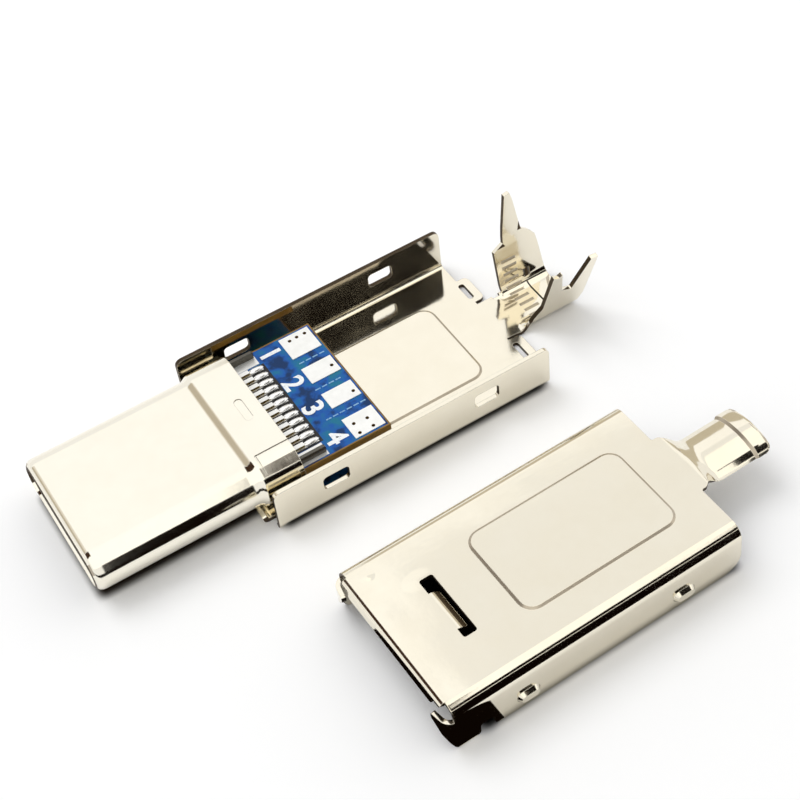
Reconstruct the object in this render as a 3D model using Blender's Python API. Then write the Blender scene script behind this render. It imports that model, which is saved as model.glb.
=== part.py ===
"""Solder-type USB-C cable plug, opened: plug, board and lower shell, with the upper shell beside them.

All lengths below are in millimetres, and each mesh is turned to metres when it is finished.
X runs from the mouth to the cable, Y to the plug's left and Z up from the table. The origin is
on the table, in the plug's middle plane, under the rear edge of the drawn plug shell.
"""

import math

import bmesh
import bpy
from mathutils import Matrix, Vector
from mathutils.geometry import delaunay_2d_cdt

MM = 0.001

# Drawn plug shell
PLUG_WIDTH = 8.25
PLUG_HEIGHT = 2.40
PLUG_WALL = 0.15
PLUG_EDGE = 0.4
PLUG_EDGE_TURN = 80.0
NOSE_LENGTH = 8.38
STEP_LENGTH = 0.45
STEP_RINGS = 6
FLANGE_LENGTH = 2.0
FLANGE_GROWTH = 0.2
PLUG_LIFT = 0.07
MARK_LENGTH = 1.5
MARK_WIDTH = 0.42
MARK_DEPTH = 0.04
MARK_REAR = 0.85
SEAM_WIDTH = 0.07
SEAM_OFFSET = 2.8
SEAM_LENGTH = 1.75
SEAM_TURN = 40.0

# Sheet of the two folded shells
SHEET = 0.22
TRAY_BEND_RADIUS = 0.26
COVER_BEND_RADIUS = 0.47
NEST_CLEARANCE = 0.35

# Lower shell: tray, loops, neck and crimp
TRAY_OVERLAP = 2.1
TRAY_LENGTH = 15.28
TRAY_WIDTH = 10.13
TRAY_HEIGHT = 2.7
TRAY_CORNER = 0.35
LIP_LENGTH = 0.4
LIP_ANGLE = 80.0
LIP_SET = 0.15
LIP_SLIT = 0.35
LIP_SLIT_DEPTH = 0.5
PANEL_PRESS = 0.07
PANEL_EDGE = 0.12
PANEL_RADIUS = 0.75
TRAY_PANEL_LENGTH = 7.8
TRAY_PANEL_WIDTH = 5.6
TRAY_PANEL_REAR = 2.15
WINDOW_LENGTH = 1.4
WINDOW_HEIGHT = 0.86
WINDOW_BOTTOM = 1.22
WINDOW_RADIUS = 0.22
FRONT_WINDOW = 3.25
REAR_WINDOW = 11.65
LOOP_REACH = 0.6
LOOP_WIDTH = 1.8
LOOP_OFFSET = 2.5
LOOP_RADIUS = 0.55
LOOP_SLOT_LENGTH = 1.15
LOOP_SLOT_WIDTH = 0.32
LOOP_SLOT_RADIUS = 0.13
LOOP_SLOT_SET = 0.02
NECK_WIDTH = 2.8
NECK_LENGTH = 1.42
NECK_BLEND = 0.7
NECK_RELIEF = (0.55, 0.2, 0.16)
RELIEF_LENGTH = 0.4
RELIEF_WIDTH = 0.12
CRIMP_LENGTH = 2.73
CRIMP_FLAT = 0.75
CRIMP_RADIUS = 0.75
LEFT_LEAN = 12.0
LEFT_CURL = 13.0
LEFT_CURL_LENGTH = 1.2
RIGHT_LEAN = 19.0
LEFT_CURL_START = 3.9
LEFT_WING = (
    (0.0, 3.8, 0.05),
    (0.6, 4.12, 0.0),
    (0.84, 7.24, 0.0),
    (1.16, 7.3, 0.0),
    (1.3, 6.85, 0.0),
    (1.74, 4.55, 0.1),
    (2.25, 4.12, 0.15),
    (2.5, 3.8, 0.15),
    (2.58, 3.2, 0.1),
)
RIGHT_WING = (
    (2.98, 2.25, 0.15),
    (3.03, 5.9, 0.0),
    (2.6, 5.98, 0.0),
    (1.96, 3.45, 0.1),
    (1.33, 3.85, 0.1),
    (0.95, 5.8, 0.0),
    (0.75, 5.62, 0.0),
    (0.42, 5.88, 0.0),
    (0.42, 2.7, 0.3),
    (-0.15, 1.6, 0.15),
)
CUT_WIDTH = 0.08
CUT_PLACE = 1.5
CUT_REACH = (-1.2, 1.25)
TOOTH_SLITS = (
    (1.5, 1.8, 0.09, 0.5),
    (1.78, 1.8, 0.09, 0.5),
)
RIDGE_PLACES = (-0.85, -0.4, 0.05, 0.5, 0.95, 1.4, 1.85, 2.25, 2.65, 3.05)
RIDGE_WIDTH = 0.18
RIDGE_FRONT = 0.3
RIDGE_LENGTH = 0.85
RIDGE_PRESS = 0.05

# Upper shell, lying outside up beside the tray
COVER_X = -1.52
COVER_Y = -14.67
COVER_YAW = 1.63
COVER_LENGTH = 15.25
COVER_HEIGHT = 2.83
COVER_LIP = 0.55
COVER_LIP_ANGLE = 80.0
COVER_LIP_WIDTH = 6.5
COVER_LIP_ROOT = 0.24
COVER_LIP_ROOT_WIDTH = 7.6
COVER_LIP_RADIUS = 0.07
EAR_START = 0.1
EAR_RADIUS = 0.35
EAR_ANGLE = 80.0
EAR_GAP = 0.05
EAR_OUTLINE = (
    (-1.1, 1.75, 0.3),
    (-0.35, 0.8, 0.3),
    (0.0, 0.0, 0.3),
)
NOTCH_FRONT = 1.2
NOTCH_LENGTH = 0.75
NOTCH_HEIGHT = 0.7
WALL_CORNER = 0.95
WALL_OVERHANG = 0.14
COVER_PANEL_LENGTH = 8.38
COVER_PANEL_WIDTH = 4.95
COVER_PANEL_FRONT = 5.2
SLOT_FRONT = 2.42
SLOT_LENGTH = 0.7
SLOT_WIDTH = 3.5
SLOT_RADIUS = 0.12
TAB_WIDTH = 2.2
TAB_SET = 0.13
TAB_LENGTH = 0.55
TAB_ANGLE = 32.0
TAB_RADIUS = 0.2
COVER_SHIFT = 0.43
BUMP_LENGTH = 1.2
BUMP_WIDTH = 0.7
BUMP_LIFT = 0.8
BUMP_PRESS = 0.2
BUMP_EDGE = 0.14
SHOULDER_WIDTH = 3.5
SHOULDER_LENGTH = 0.6
SHOULDER_RADIUS = 0.25
BARREL_CROWN_RADIUS = 2.85
BARREL_CROWN = 20.0
BARREL_SIDE_RADIUS = 0.93
BARREL_SIDE = 30.0
BARREL_LENGTH = 3.46
BARREL_CORNER = 0.4
BARREL_START = 0.95
BARREL_DROP = 0.32
NECK_SHARE = 1.02
BARREL_BLEND = 1.1
BEAD_LENGTH = 0.94
BEAD_RISE = 0.1
BEAD_TAPER = 0.14

# Insulators
FIT_GAP = 0.03
HOUSING_SETBACK = 0.42
HOUSING_LENGTH = 5.0
MOUTH_WIDTH = 6.9
MOUTH_HEIGHT = 0.8
GROOVE_WIDTH = 0.32
GROOVE_DEPTH = 0.38
GROOVE_START = 1.75
BLOCK_LENGTH = 3.9
BLOCK_GAP = 0.2

# Contacts, twelve above and ten below
CONTACT_COUNT = 12
CONTACT_PITCH = 0.5
CONTACT_WIDTH = 0.24
CONTACT_SHEET = 0.15
CONTACT_BEAM = 0.64
CONTACT_TOUCH = 0.34
CONTACT_TIP = 0.52
CONTACT_TIP_SETBACK = 1.9
CONTACT_TOUCH_SETBACK = 2.5
CONTACT_BEAM_SETBACK = 5.0
TAIL_LENGTH = 0.75
TAIL_RAMP_START = 0.8
TAIL_RAMP_END = 0.35
MISSING_BELOW = (5, 6)

# Side latches and spring plates
LATCH_SHEET = 0.18
LATCH_HEIGHT = 0.5
LATCH_CHANNEL = 0.34
LATCH_HOOK = 0.36
LATCH_SETBACK = 1.3
LATCH_HOOK_LENGTH = 1.5
LATCH_RISER = 0.5
LATCH_TAIL_HEIGHT = 0.4
LATCH_TAIL_LENGTH = 1.45
SPRING_SHEET = 0.1
SPRING_WIDTH = 6.0
SPRING_BODY = 1.5
SPRING_FINGER = 0.95
SPRING_FINGER_WIDTH = 0.9
SPRING_FINGERS = 4
SPRING_DIP = 0.36
SPRING_SETBACK = 0.62

# Circuit board
BOARD_WIDTH = 7.98
BOARD_THICKNESS = 0.6
BOARD_FRONT = 0.5
BOARD_REAR = 4.8
BOARD_DROP = 0.05
LAND_RISE = 0.04
LAND_LENGTH = 1.8
LAND_WIDTH = 0.3
LAND_REAR = 1.5
PAD_FRONT = 2.98
PAD_LENGTH = 1.64
PAD_EDGES = ((2.28, 3.8), (0.36, 1.47), (-1.57, -0.5), (-3.82, -2.45))
SIDE_LAND_INNER = 3.05
SIDE_LAND_OUTER = 3.85
VIA_RADIUS = 0.095
VIA_PLACES = (
    ((0.46, 3.44), (0.88, 3.47), (1.33, 3.47)),
    ((1.38, 0.84),),
    ((1.4, -1.2),),
    ((0.37, -2.98), (0.33, -3.62), (1.08, -3.05), (1.08, -3.62)),
)

ARC_STEP = 10.0

# Places that follow from the sizes above
STEP_REAR = -FLANGE_LENGTH
STEP_FRONT = STEP_REAR - STEP_LENGTH
MOUTH = STEP_FRONT - NOSE_LENGTH
PLUG_AXIS = SHEET + PLUG_LIFT + PLUG_HEIGHT / 2 + FLANGE_GROWTH
TRAY_FRONT = -TRAY_OVERLAP
TRAY_REAR = TRAY_FRONT + TRAY_LENGTH
COVER_WIDTH = TRAY_WIDTH - 2 * (SHEET + NEST_CLEARANCE)
BOARD_TOP = BOARD_THICKNESS / 2 - BOARD_DROP
BOARD_BOTTOM = -BOARD_THICKNESS / 2 - BOARD_DROP
HOUSING_HALF = PLUG_HEIGHT / 2 - PLUG_WALL - SPRING_SHEET - 2 * FIT_GAP


# Materials

def plated_steel(name, colour, roughness):
    """A metal surface with the part's colour."""
    return surface(name, colour, roughness, metallic=1.0)


def surface(name, colour, roughness, metallic=0.0):
    material = bpy.data.materials.new(name)
    material.use_nodes = True
    shader = material.node_tree.nodes["Principled BSDF"]
    shader.inputs["Base Color"].default_value = (*colour, 1.0)
    shader.inputs["Roughness"].default_value = roughness
    shader.inputs["Metallic"].default_value = metallic
    material.diffuse_color = (*colour, 1.0)
    return material


# Outlines

def rounded(corners):
    """Turns corners (x, y, radius) into a closed outline whose corners are arcs."""
    points = []
    count = len(corners)
    for index, (x, y, radius) in enumerate(corners):
        here = Vector((x, y))
        if radius <= 0:
            points.append(here)
            continue
        before = Vector(corners[index - 1][:2]) - here
        after = Vector(corners[(index + 1) % count][:2]) - here
        opening = before.angle(after)
        reach = min(radius / math.tan(opening / 2), before.length / 2, after.length / 2)
        bow = reach * math.tan(opening / 2)
        start = here + before.normalized() * reach
        end = here + after.normalized() * reach
        middle = here + (before.normalized() + after.normalized()).normalized() * math.hypot(reach, bow)
        first = start - middle
        sweep = math.atan2(first.x * (end - middle).y - first.y * (end - middle).x, first.dot(end - middle))
        steps = max(2, round(abs(math.degrees(sweep)) / ARC_STEP / 1.5))
        for step in range(steps + 1):
            points.append(middle + Matrix.Rotation(sweep * step / steps, 2) @ first)
    return points


def rectangle(x, y, length, width, radius, inset=0.0):
    """A rectangle with rounded corners about (x, y), drawn in by inset."""
    half_x = length / 2 - inset
    half_y = width / 2 - inset
    corner = max(radius - inset, 0.0)
    signs = ((-1, -1), (1, -1), (1, 1), (-1, 1))
    return rounded([(x + a * half_x, y + b * half_y, corner) for a, b in signs])


def stadium(width, height):
    """A slot-shaped outline in (y, z), widest along y."""
    radius = height / 2
    straight = width / 2 - radius
    steps = round(180 / ARC_STEP)
    points = []
    for side in (1, -1):
        for step in range(steps + 1):
            angle = math.pi * step / steps - math.pi / 2
            across = straight + radius * math.cos(angle)
            points.append(Vector((side * across, side * radius * math.sin(angle))))
    return points


# Meshes

def finish(mesh_tools, name, material, parent, smooth_angle=35.0):
    """Closes a mesh, turns it to metres and puts it in the scene."""
    bmesh.ops.remove_doubles(mesh_tools, verts=mesh_tools.verts, dist=0.0002)
    bmesh.ops.dissolve_degenerate(mesh_tools, edges=mesh_tools.edges, dist=0.0002)
    bmesh.ops.dissolve_limit(
        mesh_tools, angle_limit=math.radians(0.1), verts=mesh_tools.verts, edges=mesh_tools.edges,
    )
    bmesh.ops.recalc_face_normals(mesh_tools, faces=mesh_tools.faces)
    bmesh.ops.scale(mesh_tools, vec=(MM, MM, MM), verts=mesh_tools.verts)
    mesh = bpy.data.meshes.new(name)
    mesh_tools.to_mesh(mesh)
    mesh_tools.free()
    mesh.materials.append(material)
    mesh.shade_smooth()
    mesh.set_sharp_from_angle(angle=math.radians(smooth_angle))
    obj = bpy.data.objects.new(name, mesh)
    obj.parent = parent
    bpy.context.scene.collection.objects.link(obj)
    return obj


def loft(mesh_tools, rings):
    """Joins each ring of points to the next, and the last to the first, as one closed surface."""
    made = [[mesh_tools.verts.new(point) for point in points] for points in rings]
    for before, verts in zip(made[-1:] + made, made):
        for place in range(len(verts)):
            mesh_tools.faces.new((before[place - 1], before[place], verts[place], verts[place - 1]))


def prism(outline, low, high, axis):
    """A solid with a constant outline from low to high along axis X, Y or Z."""
    place = {
        "X": lambda p: Vector((low, p.x, p.y)),
        "Y": lambda p: Vector((p.x, low, p.y)),
        "Z": lambda p: Vector((p.x, p.y, low)),
    }[axis]
    direction = Vector([high - low if letter == axis else 0.0 for letter in "XYZ"])
    mesh_tools = bmesh.new()
    face = mesh_tools.faces.new([mesh_tools.verts.new(place(point)) for point in outline])
    pushed = bmesh.ops.extrude_face_region(mesh_tools, geom=[face], use_keep_orig=True)["geom"]
    verts = [item for item in pushed if isinstance(item, bmesh.types.BMVert)]
    bmesh.ops.translate(mesh_tools, vec=direction, verts=verts)
    bmesh.ops.recalc_face_normals(mesh_tools, faces=mesh_tools.faces)
    return mesh_tools


def joined(parts):
    """Puts several meshes that don't touch into one."""
    whole = bmesh.new()
    for part in parts:
        piece = bpy.data.meshes.new("piece")
        part.to_mesh(piece)
        part.free()
        whole.from_mesh(piece)
        bpy.data.meshes.remove(piece)
    return whole


def apply_cutter(obj, tools, operation, name):
    """Cuts, or adds, a hidden tool solid to an object."""
    tool = finish(tools, name, obj.data.materials[0], obj.parent)
    tool.hide_render = True
    tool.display_type = "WIRE"
    change = obj.modifiers.new(name, "BOOLEAN")
    change.operation = operation
    change.object = tool
    change.solver = "EXACT"


# Folded sheet: a flat blank in (x, s), thickness in n, bent along lines

def walk(segments, distance):
    """Follows (length, turn) segments and gives place and heading at a distance along them."""
    across = 0.0
    height = 0.0
    heading = 0.0
    left = distance
    for length, turn in segments:
        step = min(left, length)
        bend = turn * step / length
        if abs(turn) < 1e-9:
            across += step * math.cos(heading)
            height += step * math.sin(heading)
        else:
            radius = length / turn
            across += radius * (math.sin(heading + bend) - math.sin(heading))
            height += radius * (math.cos(heading) - math.cos(heading + bend))
        heading += bend
        left -= step
        if left <= 0:
            return across, height, heading
    across += left * math.cos(heading)
    height += left * math.sin(heading)
    return across, height, heading


def bend_lines(segments):
    """Distances at which a folded sheet needs an edge."""
    lines = []
    start = 0.0
    for length, turn in segments:
        if abs(turn) > 1e-9:
            steps = max(1, math.ceil(abs(math.degrees(turn)) / ARC_STEP))
            lines.extend(start + length * step / steps for step in range(steps + 1))
        start += length
    return lines


def bent(segments, distance, offset):
    """Place of a point at an offset from the sheet's middle, inside the bend counted up."""
    across, height, heading = walk(segments, distance)
    return across - offset * math.sin(heading), height + offset * math.cos(heading)


def inside(point, outline):
    """Whether a point lies within a closed outline."""
    within = False
    for start, end in zip(outline[-1:] + outline, outline):
        if (start.y > point.y) != (end.y > point.y):
            share = (point.y - start.y) / (end.y - start.y)
            if point.x < start.x + share * (end.x - start.x):
                within = not within
    return within


def blank(outline, holes, pressings):
    """A flat sheet of one face layer in (x, s), with holes and pressed fields.

    A pressing is (outline at its foot, outline at its crest, height).
    """
    points = []
    edges = []
    rises = []
    loops = [(outline, 0.0)] + [(hole, 0.0) for hole in holes]
    for foot, crest, height in pressings:
        loops += [(foot, 0.0), (crest, height)]
    for loop, height in loops:
        first = len(points)
        points += loop
        rises += [height] * len(loop)
        edges += [(first + i, first + (i + 1) % len(loop)) for i in range(len(loop))]
    flat, _, triangles, sources, _, _ = delaunay_2d_cdt(points, edges, [], 1, 0.00001)
    sheet = bmesh.new()
    verts = []
    for point, source in zip(flat, sources):
        verts.append(sheet.verts.new((point.x, point.y, rises[source[0]] if source else 0.0)))
    for triangle in triangles:
        centre = sum((flat[i] for i in triangle), Vector((0.0, 0.0))) / 3
        if not any(inside(centre, hole) for hole in holes):
            sheet.faces.new([verts[i] for i in triangle])
    bmesh.ops.recalc_face_normals(sheet, faces=sheet.faces)
    return sheet


def thicken(sheet, thickness):
    """Gives a layer of faces a thickness, half to each side."""
    pushed = bmesh.ops.extrude_face_region(sheet, geom=sheet.faces[:], use_keep_orig=True)["geom"]
    moved = [item for item in pushed if isinstance(item, bmesh.types.BMVert)]
    bmesh.ops.translate(sheet, vec=(0, 0, -thickness), verts=moved)
    bmesh.ops.translate(sheet, vec=(0, 0, thickness / 2), verts=sheet.verts)


def crease(sheet, axis, places, region=None):
    """Adds edges across the sheet at each place along axis 0 (x) or 1 (s), within a region."""
    normal = Vector((1, 0, 0)) if axis == 0 else Vector((0, 1, 0))
    for place in places:
        if region is None:
            geometry = sheet.verts[:] + sheet.edges[:] + sheet.faces[:]
        else:
            faces = [face for face in sheet.faces if region(face.calc_center_median())]
            edges = list({edge for face in faces for edge in face.edges})
            verts = list({vert for face in faces for vert in face.verts})
            geometry = verts + edges + faces
        bmesh.ops.bisect_plane(sheet, geom=geometry, dist=0.0005, plane_co=normal * place, plane_no=normal)


class Fold:
    """A flap bent about a line of constant x: sign is the way the flap runs from that line."""

    def __init__(self, line, sign, radius, angle, region):
        self.line = line
        self.sign = sign
        self.region = region
        turn = math.radians(angle)
        self.segments = [(abs(radius * turn), turn)]

    def holds(self, point):
        return self.sign * (point.x - self.line) > -0.001 and self.region(point)

    def crease(self, sheet):
        places = [self.line + self.sign * place for place in bend_lines(self.segments)]
        crease(sheet, 0, places[:1])
        crease(sheet, 0, places[1:], self.holds)

    def bend(self, verts):
        for vert in verts:
            distance = max(self.sign * (vert.co.x - self.line), 0.0)
            run, height = bent(self.segments, distance, vert.co.z)
            vert.co.x = self.line + self.sign * run
            vert.co.z = height


def fold_flaps(sheet, flaps):
    """Creases and bends each flap while the rest of the sheet is flat."""
    for flap in flaps:
        flap.crease(sheet)
    for flap in flaps:
        flap.bend([vert for vert in sheet.verts if flap.holds(vert.co)])


def ease(value):
    """Smooth step from 0 to 1."""
    share = min(max(value, 0.0), 1.0)
    return share * share * (3 - 2 * share)


def folded_profile(width, radius):
    """Plate and bend, from the middle to one side, inside up. The wall goes straight on from them."""
    middle = radius + SHEET / 2
    plate = width / 2 - SHEET / 2 - middle
    return [(plate, 0.0), (middle * math.pi / 2, math.pi / 2)]


def wall_distance(profile, height):
    """Distance along the blank of a height on the wall, from the plate's outside."""
    plate, arc = profile[0][0], profile[1][0]
    return plate + arc + height - SHEET / 2 - arc / (math.pi / 2)


# Lower shell

def crimp_profile(lean, curl, curl_start):
    """Trough bottom, its corner, the wing and its curl."""
    turn = math.radians(90.0 - lean)
    corner = CRIMP_RADIUS * turn
    profile = [(CRIMP_FLAT, 0.0), (corner, turn)]
    if curl:
        profile.append((curl_start - CRIMP_FLAT - corner, 0.0))
        profile.append((LEFT_CURL_LENGTH, math.radians(curl)))
    return profile


def tray_outline(profile):
    """The lower shell's blank, round from the front of its right wall."""
    top = wall_distance(profile, TRAY_HEIGHT)
    floor = profile[0][0]
    lip_front = TRAY_FRONT - LIP_SET - LIP_LENGTH
    slit_end = TRAY_FRONT + LIP_SLIT_DEPTH
    lip_half = floor - LIP_SLIT
    neck = NECK_WIDTH / 2
    crimp = TRAY_REAR + NECK_LENGTH
    rear = crimp + CRIMP_LENGTH
    loop_rear = TRAY_REAR + LOOP_REACH
    loop_in = LOOP_OFFSET - LOOP_WIDTH / 2
    loop_out = LOOP_OFFSET + LOOP_WIDTH / 2
    left_wing = [(crimp - NECK_RELIEF[0], neck, 0.0)]
    left_wing += [(crimp - x, neck - NECK_RELIEF[2], 0.05) for x in NECK_RELIEF[:2]]
    left_wing += [(crimp - NECK_RELIEF[1], neck, 0.0), (crimp, neck, 0.0)]
    left_wing += [(crimp + x, s, radius) for x, s, radius in LEFT_WING]
    left_wing.append((rear, neck, 0.0))
    right_wing = [(rear, -neck, 0.0)]
    right_wing += [(crimp + x, -s, radius) for x, s, radius in RIGHT_WING]
    left_side = [
        (lip_front, lip_half, 0.15),
        (slit_end, lip_half, 0.1),
        (slit_end, floor, 0.1),
        (TRAY_FRONT, floor + LIP_SLIT / 2, 0.0),
        (TRAY_FRONT, top, TRAY_CORNER),
        (TRAY_REAR, top, TRAY_CORNER),
        (TRAY_REAR, floor, 0.0),
        (TRAY_REAR, loop_out, 0.0),
        (loop_rear, loop_out, LOOP_RADIUS),
        (loop_rear, loop_in, LOOP_RADIUS),
        (TRAY_REAR, loop_in, 0.0),
        (TRAY_REAR, neck, 0.0),
    ]
    right_side = [(x, -s, radius) for x, s, radius in reversed(left_side)]
    slit = TRAY_REAR - RELIEF_LENGTH / 4
    right_side[0:1] = [
        (TRAY_REAR + RELIEF_LENGTH, -neck - RELIEF_WIDTH / 2, 0.2),
        (slit, -neck - RELIEF_WIDTH / 2, 0.0),
        (slit, -neck - RELIEF_WIDTH * 1.5, 0.0),
        (TRAY_REAR, -neck - RELIEF_WIDTH * 1.5, 0.0),
    ]
    return rounded(left_side + left_wing + right_wing + right_side)


def crimp_ridges(front):
    """Pressed ribs along the cable that grip its jacket."""
    ridges = []
    for side in RIDGE_PLACES:
        centre = front + RIDGE_FRONT + RIDGE_LENGTH / 2
        foot = rectangle(centre, side, RIDGE_LENGTH, RIDGE_WIDTH, 0.0)
        crest = rectangle(centre, side, RIDGE_LENGTH, RIDGE_WIDTH, 0.0, inset=RIDGE_WIDTH / 3)
        ridges.append((foot, crest, RIDGE_PRESS))
    return ridges


def lower_shell(material, parent):
    """Tray, loops, neck and cable crimp, folded from one sheet."""
    profile = folded_profile(TRAY_WIDTH, TRAY_BEND_RADIUS)
    crimp = TRAY_REAR + NECK_LENGTH
    cut = crimp + CUT_PLACE
    window_s = wall_distance(profile, WINDOW_BOTTOM + WINDOW_HEIGHT / 2)
    loop_slot_x = TRAY_REAR + LOOP_SLOT_SET
    holes = []
    for side in (1, -1):
        for place in (FRONT_WINDOW, REAR_WINDOW):
            centre = TRAY_FRONT + place
            holes.append(rectangle(centre, side * window_s, WINDOW_LENGTH, WINDOW_HEIGHT, WINDOW_RADIUS))
        holes.append(rectangle(
            loop_slot_x, side * LOOP_OFFSET, LOOP_SLOT_WIDTH, LOOP_SLOT_LENGTH, LOOP_SLOT_RADIUS,
        ))
    cut_centre = (CUT_REACH[0] + CUT_REACH[1]) / 2
    holes.append(rectangle(cut, cut_centre, CUT_WIDTH, CUT_REACH[1] - CUT_REACH[0], 0.0))
    for place, side, length, width in TOOTH_SLITS:
        holes.append(rectangle(crimp + place, side, length, width, min(length, width) / 4))
    panel_x = TRAY_REAR - TRAY_PANEL_REAR - TRAY_PANEL_LENGTH / 2
    panel = [
        rectangle(panel_x, 0.0, TRAY_PANEL_LENGTH, TRAY_PANEL_WIDTH, PANEL_RADIUS, inset)
        for inset in (0.0, PANEL_EDGE)
    ]
    sheet = blank(tray_outline(profile), holes, [(*panel, PANEL_PRESS)] + crimp_ridges(crimp))
    thicken(sheet, SHEET)
    lip_half = profile[0][0] - LIP_SLIT / 2
    fold_flaps(sheet, [
        Fold(TRAY_FRONT - LIP_SET, -1, SHEET * 0.8, LIP_ANGLE, lambda p: abs(p.y) < lip_half),
    ])
    left = crimp_profile(LEFT_LEAN, LEFT_CURL, LEFT_CURL_START)
    right = crimp_profile(RIGHT_LEAN, 0.0, 0.0)
    blend_start = crimp - NECK_BLEND
    crease(sheet, 0, [blend_start + NECK_BLEND * step / 5 for step in range(6)])
    crease(sheet, 1, [side * place for side in (1, -1) for place in bend_lines(profile)],
           lambda p: p.x < TRAY_REAR + 0.01)
    crease(sheet, 1, bend_lines(left), lambda p: p.x > blend_start and p.y > 0)
    crease(sheet, 1, [-place for place in bend_lines(right)], lambda p: p.x > blend_start and p.y < 0)
    for vert in sheet.verts:
        x, s, n = vert.co
        side = 1 if s >= 0 else -1
        flat = bent(profile, abs(s), n)
        curved = bent(left if side > 0 else right, abs(s), n)
        share = ease((x - blend_start) / NECK_BLEND)
        across, height = (a + (b - a) * share for a, b in zip(flat, curved))
        vert.co = (x, side * across, height + SHEET / 2)
    return finish(sheet, "lower_shell", material, parent)


# Upper shell

def barrel_profile():
    """Flat crown and rounder side of the half barrel, from the middle to one edge."""
    crown = math.radians(BARREL_CROWN)
    side = math.radians(BARREL_SIDE)
    return [(BARREL_CROWN_RADIUS * crown, crown), (BARREL_SIDE_RADIUS * side, side)]


def cover_outline(profile):
    """The upper shell's blank, its outside down."""
    edge = wall_distance(profile, COVER_HEIGHT)
    plate = profile[0][0]
    wall_start = plate + profile[1][0]
    lip_half = COVER_LIP_WIDTH / 2
    root_half = COVER_LIP_ROOT_WIDTH / 2
    ear_top = wall_start + EAR_GAP
    shoulder = SHOULDER_WIDTH / 2
    barrel = COVER_LENGTH + BARREL_START
    barrel_half = sum(length for length, _ in barrel_profile())
    rear = barrel + BARREL_LENGTH
    neck = barrel_half * NECK_SHARE
    half = [
        (-COVER_LIP, lip_half, 0.15),
        (-COVER_LIP_ROOT, lip_half, 0.05),
        (-COVER_LIP_ROOT, root_half, 0.1),
        (0.0, root_half, 0.0),
        (0.0, ear_top, 0.0),
        (EAR_OUTLINE[0][0], ear_top, 0.1),
    ]
    half += [(x, edge - z, radius) for x, z, radius in EAR_OUTLINE]
    half += [
        (NOTCH_FRONT, edge, 0.2),
        (NOTCH_FRONT, edge - NOTCH_HEIGHT, 0.2),
        (NOTCH_FRONT + NOTCH_LENGTH, edge - NOTCH_HEIGHT, 0.2),
        (NOTCH_FRONT + NOTCH_LENGTH, edge, 0.2),
        (COVER_LENGTH + WALL_OVERHANG, edge, WALL_CORNER),
        (COVER_LENGTH, wall_start, 0.3),
        (COVER_LENGTH, plate, 0.0),
        (COVER_LENGTH, shoulder, 0.1),
        (COVER_LENGTH + SHOULDER_LENGTH / 2, shoulder, SHOULDER_RADIUS),
        (COVER_LENGTH + SHOULDER_LENGTH, neck, 0.3),
        (barrel + BARREL_BLEND / 2, barrel_half, 0.3),
        (rear, barrel_half, BARREL_CORNER),
    ]
    mirrored = [(x, -s, radius) for x, s, radius in reversed(half)]
    return rounded(half + mirrored)


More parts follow.
